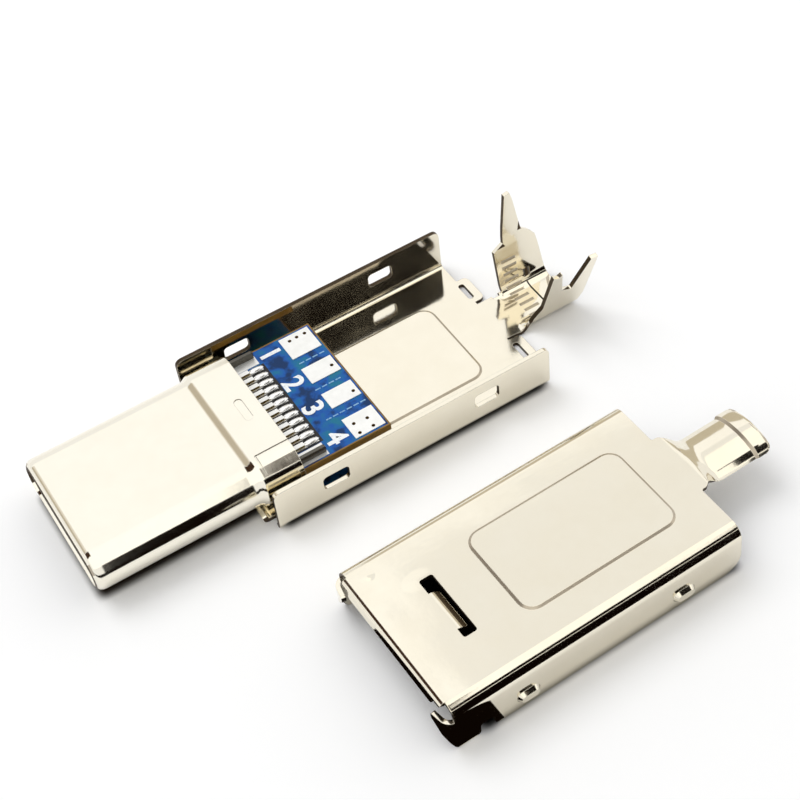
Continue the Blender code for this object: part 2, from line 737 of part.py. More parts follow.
def upper_shell(material, parent):
    """Cover with front lip and ears, tab, latch bumps and half barrel, folded from one sheet."""
    profile = folded_profile(COVER_WIDTH, COVER_BEND_RADIUS)
    barrel = COVER_LENGTH + BARREL_START
    rear = barrel + BARREL_LENGTH
    tab_end = SLOT_FRONT + TAB_LENGTH
    half_slot = SLOT_WIDTH / 2
    tab_left = TAB_SET + TAB_WIDTH / 2
    tab_right = TAB_SET - TAB_WIDTH / 2
    slot_rear = SLOT_FRONT + SLOT_LENGTH
    slot = rounded([
        (SLOT_FRONT, -half_slot, SLOT_RADIUS),
        (slot_rear, -half_slot, SLOT_RADIUS),
        (slot_rear, half_slot, SLOT_RADIUS),
        (SLOT_FRONT, half_slot, SLOT_RADIUS),
        (SLOT_FRONT, tab_left, 0.0),
        (tab_end, tab_left, SLOT_RADIUS),
        (tab_end, tab_right, SLOT_RADIUS),
        (SLOT_FRONT, tab_right, 0.0),
    ])
    panel_x = COVER_PANEL_FRONT + COVER_PANEL_LENGTH / 2
    pressings = [(
        rectangle(panel_x, 0.0, COVER_PANEL_LENGTH, COVER_PANEL_WIDTH, PANEL_RADIUS),
        rectangle(panel_x, 0.0, COVER_PANEL_LENGTH, COVER_PANEL_WIDTH, PANEL_RADIUS, PANEL_EDGE),
        -PANEL_PRESS,
    )]
    bump_s = wall_distance(profile, COVER_HEIGHT - BUMP_LIFT)
    for side in (1, -1):
        for place in (FRONT_WINDOW, REAR_WINDOW):
            centre = place + COVER_SHIFT
            pressings.append((
                rectangle(centre, side * bump_s, BUMP_LENGTH, BUMP_WIDTH, BUMP_WIDTH / 2),
                rectangle(centre, side * bump_s, BUMP_LENGTH, BUMP_WIDTH, BUMP_WIDTH / 2, BUMP_EDGE),
                -BUMP_PRESS,
            ))
    sheet = blank(cover_outline(profile), [slot], pressings)
    thicken(sheet, SHEET)
    wall_start = profile[0][0] + profile[1][0]
    lip_half = (COVER_LIP_ROOT_WIDTH / 2 + wall_start) / 2
    fold_flaps(sheet, [
        Fold(0.0, -1, COVER_LIP_RADIUS + SHEET / 2, COVER_LIP_ANGLE, lambda p: abs(p.y) < lip_half),
        Fold(EAR_START, -1, EAR_RADIUS + SHEET / 2, EAR_ANGLE, lambda p: abs(p.y) > wall_start),
        Fold(SLOT_FRONT, 1, TAB_RADIUS + SHEET / 2, TAB_ANGLE,
             lambda p: tab_right - 0.001 < p.y < tab_left + 0.001 and p.x < slot_rear - 0.01),
    ])
    round_profile = barrel_profile()
    bead_front = rear - BEAD_LENGTH
    crease(sheet, 0, [barrel + BARREL_BLEND * (step / 4 - 0.5) for step in range(5)],
           lambda p: p.x > COVER_LENGTH)
    crease(sheet, 0, [bead_front, bead_front + BEAD_TAPER, rear - BEAD_TAPER])
    crease(sheet, 1, [side * place for side in (1, -1) for place in bend_lines(profile)],
           lambda p: p.x < COVER_LENGTH + 0.01)
    crease(sheet, 1, [side * place for side in (1, -1) for place in bend_lines(round_profile)],
           lambda p: p.x > COVER_LENGTH)
    blend_start = barrel - BARREL_BLEND / 2
    for vert in sheet.verts:
        x, s, n = vert.co
        side = 1 if s >= 0 else -1
        bead = BEAD_RISE * ease((x - bead_front) / BEAD_TAPER) * ease((rear - x) / BEAD_TAPER + 0.4)
        flat = bent(profile, abs(s), n)
        curved = bent(round_profile, abs(s), n - bead)
        share = ease((x - blend_start) / BARREL_BLEND)
        across = flat[0] + (curved[0] - flat[0]) * share
        height = flat[1] + (curved[1] + BARREL_DROP - flat[1]) * share
        vert.co = (x, -side * across, COVER_HEIGHT - SHEET / 2 - height)
    return finish(sheet, "upper_shell", material, parent)


# Plug shell and insulators

def grown(width, height, growth, x):
    """A ring of points at x whose outline is grown on every side."""
    return [Vector((x, p.x, p.y)) for p in stadium(width + 2 * growth, height + 2 * growth)]


def edge_place(radius, share):
    """Place along X and growth of a point on the mouth's rolled edge, at a share of its turn."""
    turn = math.radians(PLUG_EDGE_TURN) * share
    return MOUTH + PLUG_EDGE - radius * math.sin(turn), radius * math.cos(turn) - PLUG_EDGE


def seam_turn():
    """Section in (y, z) of the seam's run down the flange's right side."""
    radius = PLUG_HEIGHT / 2 + FLANGE_GROWTH
    centre = -(PLUG_WIDTH - PLUG_HEIGHT) / 2
    angles = [math.radians(SEAM_TURN * step / 4) for step in range(5)]
    bands = []
    for rim in (radius + MARK_DEPTH, radius - MARK_DEPTH):
        arc = [Vector((centre - rim * math.sin(angle), rim * math.cos(angle))) for angle in angles]
        bands.append([Vector((-SEAM_OFFSET, rim))] + arc)
    return bands[0] + bands[1][::-1]


def plug_shell(material, parent):
    """Seamless drawn tube with a larger rear flange, its mouth edge rolled inward."""
    shares = [ring / STEP_RINGS for ring in range(STEP_RINGS + 1)]
    body = [(0.0, FLANGE_GROWTH)]
    body += [(STEP_REAR - STEP_LENGTH * share, FLANGE_GROWTH * ease(1 - share)) for share in shares]
    outer = body + [edge_place(PLUG_EDGE, turn) for turn in (0.0, 0.25, 0.5, 0.75, 1.0)]
    inner = [edge_place(PLUG_EDGE - PLUG_WALL, turn) for turn in (1.0, 0.5, 0.0)]
    inner += [(x, growth - PLUG_WALL) for x, growth in reversed(body)]
    shell = bmesh.new()
    loft(shell, [grown(PLUG_WIDTH, PLUG_HEIGHT, growth, x) for x, growth in outer + inner])
    obj = finish(shell, "plug_shell", material, parent)
    top = PLUG_HEIGHT / 2 + FLANGE_GROWTH
    mark = prism(
        [Vector((p.y - MARK_REAR, p.x)) for p in stadium(MARK_LENGTH, MARK_WIDTH)],
        top - MARK_DEPTH, top + MARK_DEPTH, "Z",
    )
    seam = prism(
        rectangle(0.05 - SEAM_LENGTH / 2, -SEAM_OFFSET, SEAM_LENGTH + 0.1, SEAM_WIDTH, 0.0),
        top - MARK_DEPTH, top + MARK_DEPTH, "Z",
    )
    turn = prism(seam_turn(), -SEAM_LENGTH - SEAM_WIDTH / 2, -SEAM_LENGTH + SEAM_WIDTH / 2, "X")
    apply_cutter(obj, mark, "DIFFERENCE", "flange_mark")
    apply_cutter(obj, seam, "DIFFERENCE", "flange_seam")
    apply_cutter(obj, turn, "DIFFERENCE", "flange_seam_turn")
    return obj


def comb_outline(width, height, depth, side_pocket):
    """Mouth in (y, z) with a groove for every contact above and below, and a pocket at each side."""
    half = width / 2
    tall = height / 2
    pocket_end = half + side_pocket[0]
    pocket_tall = side_pocket[1] / 2
    corner = [Vector((pocket_end, pocket_tall)), Vector((half, pocket_tall)), Vector((half, tall))]
    upper = list(corner)
    for index in reversed(range(CONTACT_COUNT)):
        centre = contact_place(index)
        upper.append(Vector((centre + GROOVE_WIDTH / 2, tall)))
        upper.append(Vector((centre + GROOVE_WIDTH / 2, tall + depth)))
        upper.append(Vector((centre - GROOVE_WIDTH / 2, tall + depth)))
        upper.append(Vector((centre - GROOVE_WIDTH / 2, tall)))
    upper += [Vector((-p.x, p.y)) for p in reversed(corner)]
    lower = [Vector((p.x, -p.y)) for p in reversed(upper)]
    return upper + lower


def contact_place(index):
    """Y of a contact, counted from the right."""
    return (index - (CONTACT_COUNT - 1) / 2) * CONTACT_PITCH


def contact_housing(material, parent):
    """Front insulator: a block with the mouth, a groove for each contact and windows for the springs."""
    inner_width = PLUG_WIDTH - 2 * (PLUG_WALL + FIT_GAP)
    front = MOUTH + HOUSING_SETBACK
    rear = front + HOUSING_LENGTH
    body = prism(stadium(inner_width, 2 * HOUSING_HALF), front, rear, "X")
    housing = finish(body, "contact_housing", material, parent)
    mouth = prism(
        rectangle(0.0, 0.0, MOUTH_WIDTH, MOUTH_HEIGHT, 0.0), front - 1.0, MOUTH + GROOVE_START + 0.1, "X",
    )
    pocket = (LATCH_CHANNEL, LATCH_HEIGHT + 2 * FIT_GAP)
    grooves = prism(
        comb_outline(MOUTH_WIDTH, MOUTH_HEIGHT, GROOVE_DEPTH, pocket),
        MOUTH + GROOVE_START, rear + 1.0, "X",
    )
    side_channel = prism(
        rectangle(0.0, 0.0, MOUTH_WIDTH + 2 * LATCH_CHANNEL, pocket[1], 0.0), MOUTH + LATCH_SETBACK - 0.1,
        rear + 1.1, "X",
    )
    windows = []
    for place in finger_places():
        for side in (1, -1):
            low, high = sorted((side * MOUTH_HEIGHT * 0.4, side * (HOUSING_HALF + 0.1)))
            windows.append(prism(
                rectangle(
                    MOUTH + SPRING_SETBACK + SPRING_FINGER / 2, place, SPRING_FINGER + 2 * FIT_GAP,
                    SPRING_FINGER_WIDTH + 4 * FIT_GAP, 0.0,
                ),
                low, high, "Z",
            ))
    apply_cutter(housing, mouth, "DIFFERENCE", "mouth")
    apply_cutter(housing, grooves, "DIFFERENCE", "contact_grooves")
    apply_cutter(housing, side_channel, "DIFFERENCE", "latch_channel")
    apply_cutter(housing, joined(windows), "DIFFERENCE", "spring_windows")
    return housing


def tail_block(material, parent):
    """Rear insulator: holds the contacts in open grooves, above and below."""
    front = MOUTH + HOUSING_SETBACK + HOUSING_LENGTH + BLOCK_GAP
    half = MOUTH_WIDTH / 2
    floor = CONTACT_BEAM - CONTACT_SHEET / 2 - FIT_GAP
    upper = [Vector((half, HOUSING_HALF))]
    for index in reversed(range(CONTACT_COUNT)):
        centre = contact_place(index)
        upper.append(Vector((centre + GROOVE_WIDTH / 2, HOUSING_HALF)))
        upper.append(Vector((centre + GROOVE_WIDTH / 2, floor)))
        upper.append(Vector((centre - GROOVE_WIDTH / 2, floor)))
        upper.append(Vector((centre - GROOVE_WIDTH / 2, HOUSING_HALF)))
    upper.append(Vector((-half, HOUSING_HALF)))
    outline = upper + [Vector((p.x, -p.y)) for p in reversed(upper)]
    return finish(prism(outline, front, front + BLOCK_LENGTH, "X"), "tail_block", material, parent)


# Contacts, latches and springs

def strip(path, thickness):
    """Outline of a strip that follows a path of points in a plane."""
    above = []
    below = []
    for index, point in enumerate(path):
        back = path[max(index - 1, 0)]
        ahead = path[min(index + 1, len(path) - 1)]
        along = (ahead - back).normalized()
        across = Vector((-along.y, along.x)) * thickness / 2
        above.append(point + across)
        below.append(point - across)
    return above + below[::-1]


def contact(name, place, side, material, parent):
    """One stamped contact: tip, rounded touch point, beam, step and solder tail."""
    land = side * (BOARD_TOP if side > 0 else BOARD_BOTTOM)
    tail = land + LAND_RISE + FIT_GAP + CONTACT_SHEET / 2
    middle = (CONTACT_TOUCH_SETBACK + CONTACT_BEAM_SETBACK) / 2
    path = [
        Vector((MOUTH + CONTACT_TIP_SETBACK, CONTACT_TIP)),
        Vector((MOUTH + CONTACT_TOUCH_SETBACK - 0.15, CONTACT_TOUCH + 0.03)),
        Vector((MOUTH + CONTACT_TOUCH_SETBACK + 0.15, CONTACT_TOUCH + 0.02)),
        Vector((MOUTH + middle, (CONTACT_TOUCH + CONTACT_BEAM) / 2)),
        Vector((MOUTH + CONTACT_BEAM_SETBACK, CONTACT_BEAM)),
        Vector((-TAIL_RAMP_START, CONTACT_BEAM)),
        Vector((-TAIL_RAMP_END, tail)),
        Vector((TAIL_LENGTH, tail)),
    ]
    outline = [Vector((p.x, side * p.y)) for p in strip(path, CONTACT_SHEET)]
    body = prism(outline, place - CONTACT_WIDTH / 2, place + CONTACT_WIDTH / 2, "Y")
    return finish(body, name, material, parent)


def latch(name, side, material, parent):
    """Side spring whose hook locks the plug, with a tail that stands on the board."""
    half = LATCH_HEIGHT / 2
    low_tail = BOARD_TOP + LAND_RISE + FIT_GAP
    top = low_tail + LATCH_TAIL_HEIGHT
    front = MOUTH + LATCH_SETBACK
    riser = -BOARD_FRONT - FIT_GAP * 3
    outline = rounded([
        (front, -half, 0.1),
        (riser, -half, 0.1),
        (riser, low_tail, 0.0),
        (LATCH_TAIL_LENGTH, low_tail, 0.0),
        (LATCH_TAIL_LENGTH, top, 0.1),
        (riser - LATCH_RISER, top, 0.1),
        (riser - LATCH_RISER, half, 0.0),
        (front, half, 0.1),
    ])
    sheet = blank(outline, [], [])
    thicken(sheet, LATCH_SHEET)
    hook_rear = front + LATCH_HOOK_LENGTH
    crease(sheet, 0, [front + LATCH_HOOK_LENGTH * step / 6 for step in range(1, 7)])
    centre = MOUTH_WIDTH / 2 + LATCH_SHEET / 2 + FIT_GAP * 2
    for vert in sheet.verts:
        x, height, offset = vert.co
        share = min(max((hook_rear - x) / LATCH_HOOK_LENGTH, 0.0), 1.0)
        inward = LATCH_HOOK * math.sin(math.pi * share) ** 2
        vert.co = (x, side * (centre + offset - inward), height)
    return finish(sheet, name, material, parent)


def finger_places():
    """Y of each spring finger."""
    pitch = SPRING_WIDTH / SPRING_FINGERS
    return [(index - (SPRING_FINGERS - 1) / 2) * pitch for index in range(SPRING_FINGERS)]


def spring_plate(name, side, material, parent):
    """Thin plate between insulator and shell, with fingers that reach into the mouth."""
    front = MOUTH + SPRING_SETBACK
    root = front + SPRING_FINGER
    rear = root + SPRING_BODY
    half = SPRING_WIDTH / 2
    outline = [(rear, -half, 0.2), (rear, half, 0.2), (root, half, 0.0)]
    for place in reversed(finger_places()):
        outline.append((root, place + SPRING_FINGER_WIDTH / 2, 0.0))
        outline.append((front, place + SPRING_FINGER_WIDTH / 2, 0.1))
        outline.append((front, place - SPRING_FINGER_WIDTH / 2, 0.1))
        outline.append((root, place - SPRING_FINGER_WIDTH / 2, 0.0))
    outline.append((root, -half, 0.0))
    sheet = blank(rounded(outline), [], [])
    thicken(sheet, SPRING_SHEET)
    crease(sheet, 0, [front + SPRING_FINGER * step / 5 for step in range(1, 5)])
    level = HOUSING_HALF + FIT_GAP + SPRING_SHEET / 2
    for vert in sheet.verts:
        share = min(max((root - vert.co.x) / SPRING_FINGER, 0.0), 1.0)
        dip = SPRING_DIP * math.sin(math.pi * share * 0.8) ** 2
        vert.co.z = side * (level + vert.co.z - dip)
    return finish(sheet, name, material, parent)


# Circuit board

def circuit_board(material, parent):
    """Board between the two rows of tails, with plated lands, four solder pads and drilled vias."""
    length = BOARD_FRONT + BOARD_REAR
    base = prism(
        rectangle(length / 2 - BOARD_FRONT, 0.0, length, BOARD_WIDTH, 0.0), BOARD_BOTTOM, BOARD_TOP, "Z",
    )
    board = finish(base, "circuit_board", material, parent)
    sink = BOARD_THICKNESS / 4
    levels = ((BOARD_TOP - sink, BOARD_TOP + LAND_RISE), (BOARD_BOTTOM - LAND_RISE, BOARD_BOTTOM + sink))
    lands = []
    for level in levels:
        below = level is levels[1]
        for index in range(CONTACT_COUNT):
            if below and index in MISSING_BELOW:
                continue
            lands.append(prism(
                rectangle(LAND_REAR - LAND_LENGTH / 2, contact_place(index), LAND_LENGTH, LAND_WIDTH, 0.0),
                *level, "Z",
            ))
        for low, high in PAD_EDGES:
            lands.append(prism(
                rectangle(PAD_FRONT + PAD_LENGTH / 2, (low + high) / 2, PAD_LENGTH, high - low, 0.0),
                *level, "Z",
            ))
    middle = (SIDE_LAND_INNER + SIDE_LAND_OUTER) / 2
    width = SIDE_LAND_OUTER - SIDE_LAND_INNER
    for side in (1, -1):
        lands.append(prism(
            rectangle(LAND_REAR - LAND_LENGTH / 2, side * middle, LAND_LENGTH, width, 0.0),
            *levels[0], "Z",
        ))
    apply_cutter(board, joined(lands), "UNION", "board_lands")
    drills = []
    for group in VIA_PLACES:
        for x, y in group:
            drill = bmesh.new()
            bmesh.ops.create_cone(
                drill, cap_ends=True, segments=10, radius1=VIA_RADIUS, radius2=VIA_RADIUS,
                depth=2 * BOARD_THICKNESS, matrix=Matrix.Translation((PAD_FRONT + x, y, -BOARD_DROP)),
            )
            drills.append(drill)
    apply_cutter(board, joined(drills), "DIFFERENCE", "via_drills")
    return board


def empty(name, location, yaw=0.0):
    """A place in the scene that carries the pieces of one group."""
    obj = bpy.data.objects.new(name, None)
    obj.location = [value * MM for value in location]
    obj.rotation_euler = (0.0, 0.0, math.radians(yaw))
    bpy.context.scene.collection.objects.link(obj)
    return obj


def build():
    """Makes every piece of the plug."""
    for obj in list(bpy.data.objects):
        bpy.data.objects.remove(obj, do_unlink=True)
    nickel = plated_steel("nickel_plate", (0.83, 0.80, 0.73), 0.16)
    bright = plated_steel("drawn_nickel", (0.84, 0.82, 0.76), 0.14)
    spring = plated_steel("spring_steel", (0.62, 0.61, 0.58), 0.3)
    gold = plated_steel("gold_plate", (0.83, 0.65, 0.33), 0.25)
    black = surface("black_resin", (0.02, 0.02, 0.02), 0.5)
    grey = surface("grey_resin", (0.06, 0.06, 0.06), 0.55)
    mask = surface("solder_mask", (0.005, 0.09, 0.33), 0.35)
    tray = empty("tray_place", (0.0, 0.0, 0.0))
    plug = empty("plug_place", (0.0, 0.0, PLUG_AXIS))
    cover = empty("cover_place", (COVER_X, COVER_Y, 0.0), COVER_YAW)
    lower_shell(nickel, tray)
    upper_shell(nickel, cover)
    plug_shell(bright, plug)
    contact_housing(black, plug)
    tail_block(grey, plug)
    circuit_board(mask, plug)
    for index in range(CONTACT_COUNT):
        place = contact_place(index)
        contact(f"upper_contact_{index + 1:02d}", place, 1, gold, plug)
        if index not in MISSING_BELOW:
            contact(f"lower_contact_{index + 1:02d}", place, -1, gold, plug)
    for name, side in (("left", 1), ("right", -1)):
        latch(f"{name}_latch", side, spring, plug)
    for name, side in (("upper", 1), ("lower", -1)):
        spring_plate(f"{name}_spring_plate", side, spring, plug)


build()
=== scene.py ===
"""Dressed view of the open cable plug: plated shells, contacts, board, numbers and studio.

Sizes named in millimetres are turned to metres by MM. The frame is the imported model's own:
X from the mouth to the cable, Y to the plug's left, Z up from the table.
"""

import logging
import math
from dataclasses import dataclass, field
from enum import Enum
from typing import Any

import bmesh
import bpy
from mathutils import Matrix, Vector


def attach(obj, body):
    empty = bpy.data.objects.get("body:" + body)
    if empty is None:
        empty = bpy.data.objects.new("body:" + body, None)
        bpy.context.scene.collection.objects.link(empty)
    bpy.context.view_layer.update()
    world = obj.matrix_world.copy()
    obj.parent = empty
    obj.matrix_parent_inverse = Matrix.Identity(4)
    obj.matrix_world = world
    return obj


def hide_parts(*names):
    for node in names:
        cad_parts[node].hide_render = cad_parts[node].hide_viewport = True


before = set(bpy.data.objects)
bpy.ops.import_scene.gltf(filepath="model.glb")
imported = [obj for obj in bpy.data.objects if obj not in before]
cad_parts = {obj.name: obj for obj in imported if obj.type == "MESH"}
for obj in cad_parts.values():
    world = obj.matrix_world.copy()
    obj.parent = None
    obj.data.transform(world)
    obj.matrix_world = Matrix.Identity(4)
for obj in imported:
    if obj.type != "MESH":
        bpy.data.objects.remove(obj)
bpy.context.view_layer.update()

MM = 0.001
ROOT = "root"
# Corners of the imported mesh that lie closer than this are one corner.
WELD_MM = 0.002
# Neighbouring triangles that turn by less than this are one flat face.
FLAT_DEG = 0.2
# A corner this near a cutting plane counts as lying on it.
CUT_SLACK_MM = 0.0001
# Most values of a noise texture fall between these two.
NOISE_LOW, NOISE_HIGH = 0.3, 0.7
log = logging.getLogger("open_plug")


def linear(code: str) -> tuple[float, float, float, float]:
    """Turns an sRGB hex value to Blender's linear colour.

    Args:
        code: colour as "#rrggbb".

    Returns:
        Red, green, blue and an alpha of one.
    """
    parts = [int(code[i : i + 2], 16) / 255 for i in (1, 3, 5)]
    red, green, blue = (c / 12.92 if c <= 0.04045 else ((c + 0.055) / 1.055) ** 2.4 for c in parts)
    return (red, green, blue, 1.0)


def add_node(
    tree: bpy.types.NodeTree, kind: str, inputs: dict[Any, Any] | None = None, **settings: Any
) -> bpy.types.Node:
    """Adds a node with its settings, values and links.

    Args:
        tree: node tree that takes it.
        kind: node type name.
        inputs: value or output socket for each input, by name or number.
        settings: properties of the node itself.

    Returns:
        The new node.
    """
    node = tree.nodes.new(kind)
    for name, value in settings.items():
        setattr(node, name, value)
    for key, value in (inputs or {}).items():
        socket = node.inputs[key]
        if isinstance(value, bpy.types.NodeSocket):
            tree.links.new(value, socket)
        else:
            socket.default_value = value
    return node


def empty_tree(name: str) -> tuple[bpy.types.Material, bpy.types.NodeTree]:
    """Makes a material whose node tree is empty.

    Args:
        name: the material's name.

    Returns:
        The material and its tree.
    """
    material = bpy.data.materials.new(name)
    material.use_nodes = True
    material.node_tree.nodes.clear()
    return material, material.node_tree


def seen_or_mirrored(tree: bpy.types.NodeTree) -> bpy.types.NodeSocket:
    """Tells the rays that show a background from those that light the object.

    Args:
        tree: node tree of the floor or the world.

    Returns:
        A socket that is one for camera, glossy and transmission rays and nought for the rest.
    """
    path = add_node(tree, "ShaderNodeLightPath")
    seen = add_node(
        tree,
        "ShaderNodeMath",
        {0: path.outputs["Is Camera Ray"], 1: path.outputs["Is Glossy Ray"]},
        operation="MAXIMUM",
    )
    shown = add_node(
        tree,
        "ShaderNodeMath",
        {0: seen.outputs[0], 1: path.outputs["Is Transmission Ray"]},
        operation="MAXIMUM",
    )
    return shown.outputs[0]


def millimetre_place(
    tree: bpy.types.NodeTree, stretch: tuple[float, float, float] = (1, 1, 1)
) -> bpy.types.NodeSocket:
    """Gives Object coordinates in millimetres, so that a pattern's scale is one over its size.

    Args:
        tree: node tree that takes the nodes.
        stretch: how much finer the pattern is along each axis.

    Returns:
        The vector output.
    """
    place = add_node(tree, "ShaderNodeTexCoord").outputs["Object"]
    scale = tuple(share / MM for share in stretch)
    return add_node(tree, "ShaderNodeMapping", {"Vector": place, "Scale": scale}).outputs["Vector"]


@dataclass(frozen=True)
class PressMark:
    """A soft swelling or dip that the press left in a sheet."""

    place_mm: tuple[float, float, float]
    reach_mm: tuple[float, float, float]
    height_mm: float


@dataclass(frozen=True)
class PlatedSteel:
    """Bright nickel over stamped sheet: warm silver, a little wavy, with faint rolling grain.

    The real grain and pores are finer than the render shows, so both are drawn this coarse.
    """

    name: str
    colour: str = "#f2ecdc"
    shade: str = "#e9e1cd"
    smooth: float = 0.06
    dull: float = 0.12
    haze_mm: float = 2.22
    haze_detail: float = 5.0
    haze_break: float = 0.65
    ripple_mm: float = 3.2
    ripple_depth_mm: float = 0.02
    pore_mm: float = 0.3
    pore_depth_mm: float = 0.0009
    grain_mm: float = 0.16
    grain_depth_mm: float = 0.0005
    grain_stretch: tuple[float, float, float] = (0.12, 1.0, 1.0)
    edge_mm: float = 0.04
    marks: tuple[PressMark, ...] = ()

    def material(self) -> bpy.types.Material:
        """Builds the finish.

        Returns:
            The material.
        """
        material, tree = empty_tree(self.name)
        place = millimetre_place(tree)
        haze = add_node(
            tree,
            "ShaderNodeTexNoise",
            {"Vector": place, "Scale": 1 / self.haze_mm, "Detail": self.haze_detail,
             "Roughness": self.haze_break},
        )
        tone = add_node(
            tree,
            "ShaderNodeMix",
            {0: haze.outputs["Fac"], 6: linear(self.colour), 7: linear(self.shade)},
            data_type="RGBA",
        )
        rough = add_node(
            tree,
            "ShaderNodeMapRange",
            {"Value": haze.outputs["Fac"], "From Min": NOISE_LOW, "From Max": NOISE_HIGH,
             "To Min": self.smooth, "To Max": self.dull},
        )
        shader = add_node(
            tree,
            "ShaderNodeBsdfPrincipled",
            {"Base Color": tone.outputs[2], "Metallic": 1.0, "Roughness": rough.outputs["Result"],
             "Normal": self.relief(tree, place)},
        )
        add_node(tree, "ShaderNodeOutputMaterial", {"Surface": shader.outputs["BSDF"]})
        return material

    def relief(self, tree: bpy.types.NodeTree, place: bpy.types.NodeSocket) -> bpy.types.NodeSocket:
        """Adds the rounded edges, the waves, the pores, the grain and the press marks.

        Args:
            tree: node tree that takes the nodes.
            place: position in millimetres.

        Returns:
            The normal output.
        """
        along = millimetre_place(tree, self.grain_stretch)
        rounded = add_node(tree, "ShaderNodeBevel", {"Radius": self.edge_mm * MM}, samples=4)
        normal = rounded.outputs["Normal"]
        # The place, size, detail and depth of the waves, the pores and the grain.
        layers = (
            (place, self.ripple_mm, 1.0, self.ripple_depth_mm),
            (place, self.pore_mm, 2.0, self.pore_depth_mm),
            (along, self.grain_mm, 3.0, self.grain_depth_mm),
        )
        for where, size, detail, depth in layers:
            noise = add_node(
                tree, "ShaderNodeTexNoise", {"Vector": where, "Scale": 1 / size, "Detail": detail}
            )
            bump = add_node(
                tree,
                "ShaderNodeBump",
                {"Height": noise.outputs["Fac"], "Distance": depth * MM, "Normal": normal},
            )
            normal = bump.outputs["Normal"]
        for mark in self.marks:
            centred = add_node(
                tree,
                "ShaderNodeMapping",
                {
                    "Vector": place,
                    "Location": tuple(-p / r for p, r in zip(mark.place_mm, mark.reach_mm)),
                    "Scale": tuple(1 / r for r in mark.reach_mm),
                },
            )
            ball = add_node(
                tree,
                "ShaderNodeTexGradient",
                {"Vector": centred.outputs["Vector"]},
                gradient_type="SPHERICAL",
            )
            swell = add_node(
                tree,
                "ShaderNodeMapRange",
                {"Value": ball.outputs["Fac"]},
                interpolation_type="SMOOTHSTEP",
            )
            bump = add_node(
                tree,
                "ShaderNodeBump",
                {"Height": swell.outputs["Result"], "Distance": mark.height_mm * MM, "Normal": normal},
            )
            normal = bump.outputs["Normal"]
        return normal


@dataclass(frozen=True)
class MottledSkin:
    """A skin of two close tones over a fine relief, as resins and frozen solder have."""

    name: str
    colour: str = "#808080"
    shade: str = "#707070"
    metallic: float = 0.0
    roughness: float = 0.5
    texture_mm: float = 0.1
    depth_mm: float = 0.003

    def material(self) -> bpy.types.Material:
        """Builds the finish.

        Returns:
            The material.
        """
        material, tree = empty_tree(self.name)
        place = millimetre_place(tree)
        lumps = add_node(tree, "ShaderNodeTexNoise", {"Vector": place, "Scale": 1 / self.texture_mm})
        tone = add_node(
            tree,
            "ShaderNodeMix",
            {0: lumps.outputs["Fac"], 6: linear(self.colour), 7: linear(self.shade)},
            data_type="RGBA",
        )
        bump = add_node(
            tree, "ShaderNodeBump", {"Height": lumps.outputs["Fac"], "Distance": self.depth_mm * MM}
        )
        shader = add_node(
            tree,
            "ShaderNodeBsdfPrincipled",
            {"Base Color": tone.outputs[2], "Metallic": self.metallic, "Roughness": self.roughness,
             "Normal": bump.outputs["Normal"]},
        )
        add_node(tree, "ShaderNodeOutputMaterial", {"Surface": shader.outputs["BSDF"]})
        return material


@dataclass(frozen=True)
class MouldedResin(MottledSkin):
    """Black moulded resin: near black, satin, with a fine moulding texture."""

    colour: str = "#17171a"
    shade: str = "#26262a"
    roughness: float = 0.45
    texture_mm: float = 0.08


@dataclass(frozen=True)
class TinnedCopper(MottledSkin):
    """Solder-tinned metal: pale and bright, uneven where the solder froze."""

    colour: str = "#fbfbf8"
    shade: str = "#e6e6e2"
    metallic: float = 0.35
    roughness: float = 0.3
    texture_mm: float = 0.5
    depth_mm: float = 0.02


@dataclass(frozen=True)
class SolderMask:
    """Blue lacquer over copper: deep blue and glossy, darker where no copper is under it."""

    name: str
    colour: str = "#0a55a8"
    bare: str = "#05305f"
    teal: str = "#12708f"
    roughness: float = 0.35
    shine: float = 0.2
    patch_mm: float = 0.9
    patch_detail: float = 3.0
    depth_mm: float = 0.01
    bare_up_to: float = 0.4
    copper_from: float = 0.5
    teal_from: float = 0.66

    def material(self) -> bpy.types.Material:
        """Builds the finish.

        Returns:
            The material.
        """
        material, tree = empty_tree(self.name)
        place = millimetre_place(tree)
        patches = add_node(
            tree,
            "ShaderNodeTexNoise",
            {"Vector": place, "Scale": 1 / self.patch_mm, "Detail": self.patch_detail},
        )
        tone = add_node(tree, "ShaderNodeValToRGB", {"Fac": patches.outputs["Fac"]})
        ramp = tone.color_ramp
        ramp.elements[0].position, ramp.elements[0].color = self.bare_up_to, linear(self.bare)
        ramp.elements[1].position, ramp.elements[1].color = self.copper_from, linear(self.colour)
        ramp.elements.new(self.teal_from).color = linear(self.teal)
        bump = add_node(
            tree, "ShaderNodeBump", {"Height": patches.outputs["Fac"], "Distance": self.depth_mm * MM}
        )
        shader = add_node(
            tree,
            "ShaderNodeBsdfPrincipled",
            {"Base Color": tone.outputs["Color"], "Roughness": self.roughness,
             "Specular IOR Level": self.shine, "Normal": bump.outputs["Normal"]},
        )
        add_node(tree, "ShaderNodeOutputMaterial", {"Surface": shader.outputs["BSDF"]})
        return material


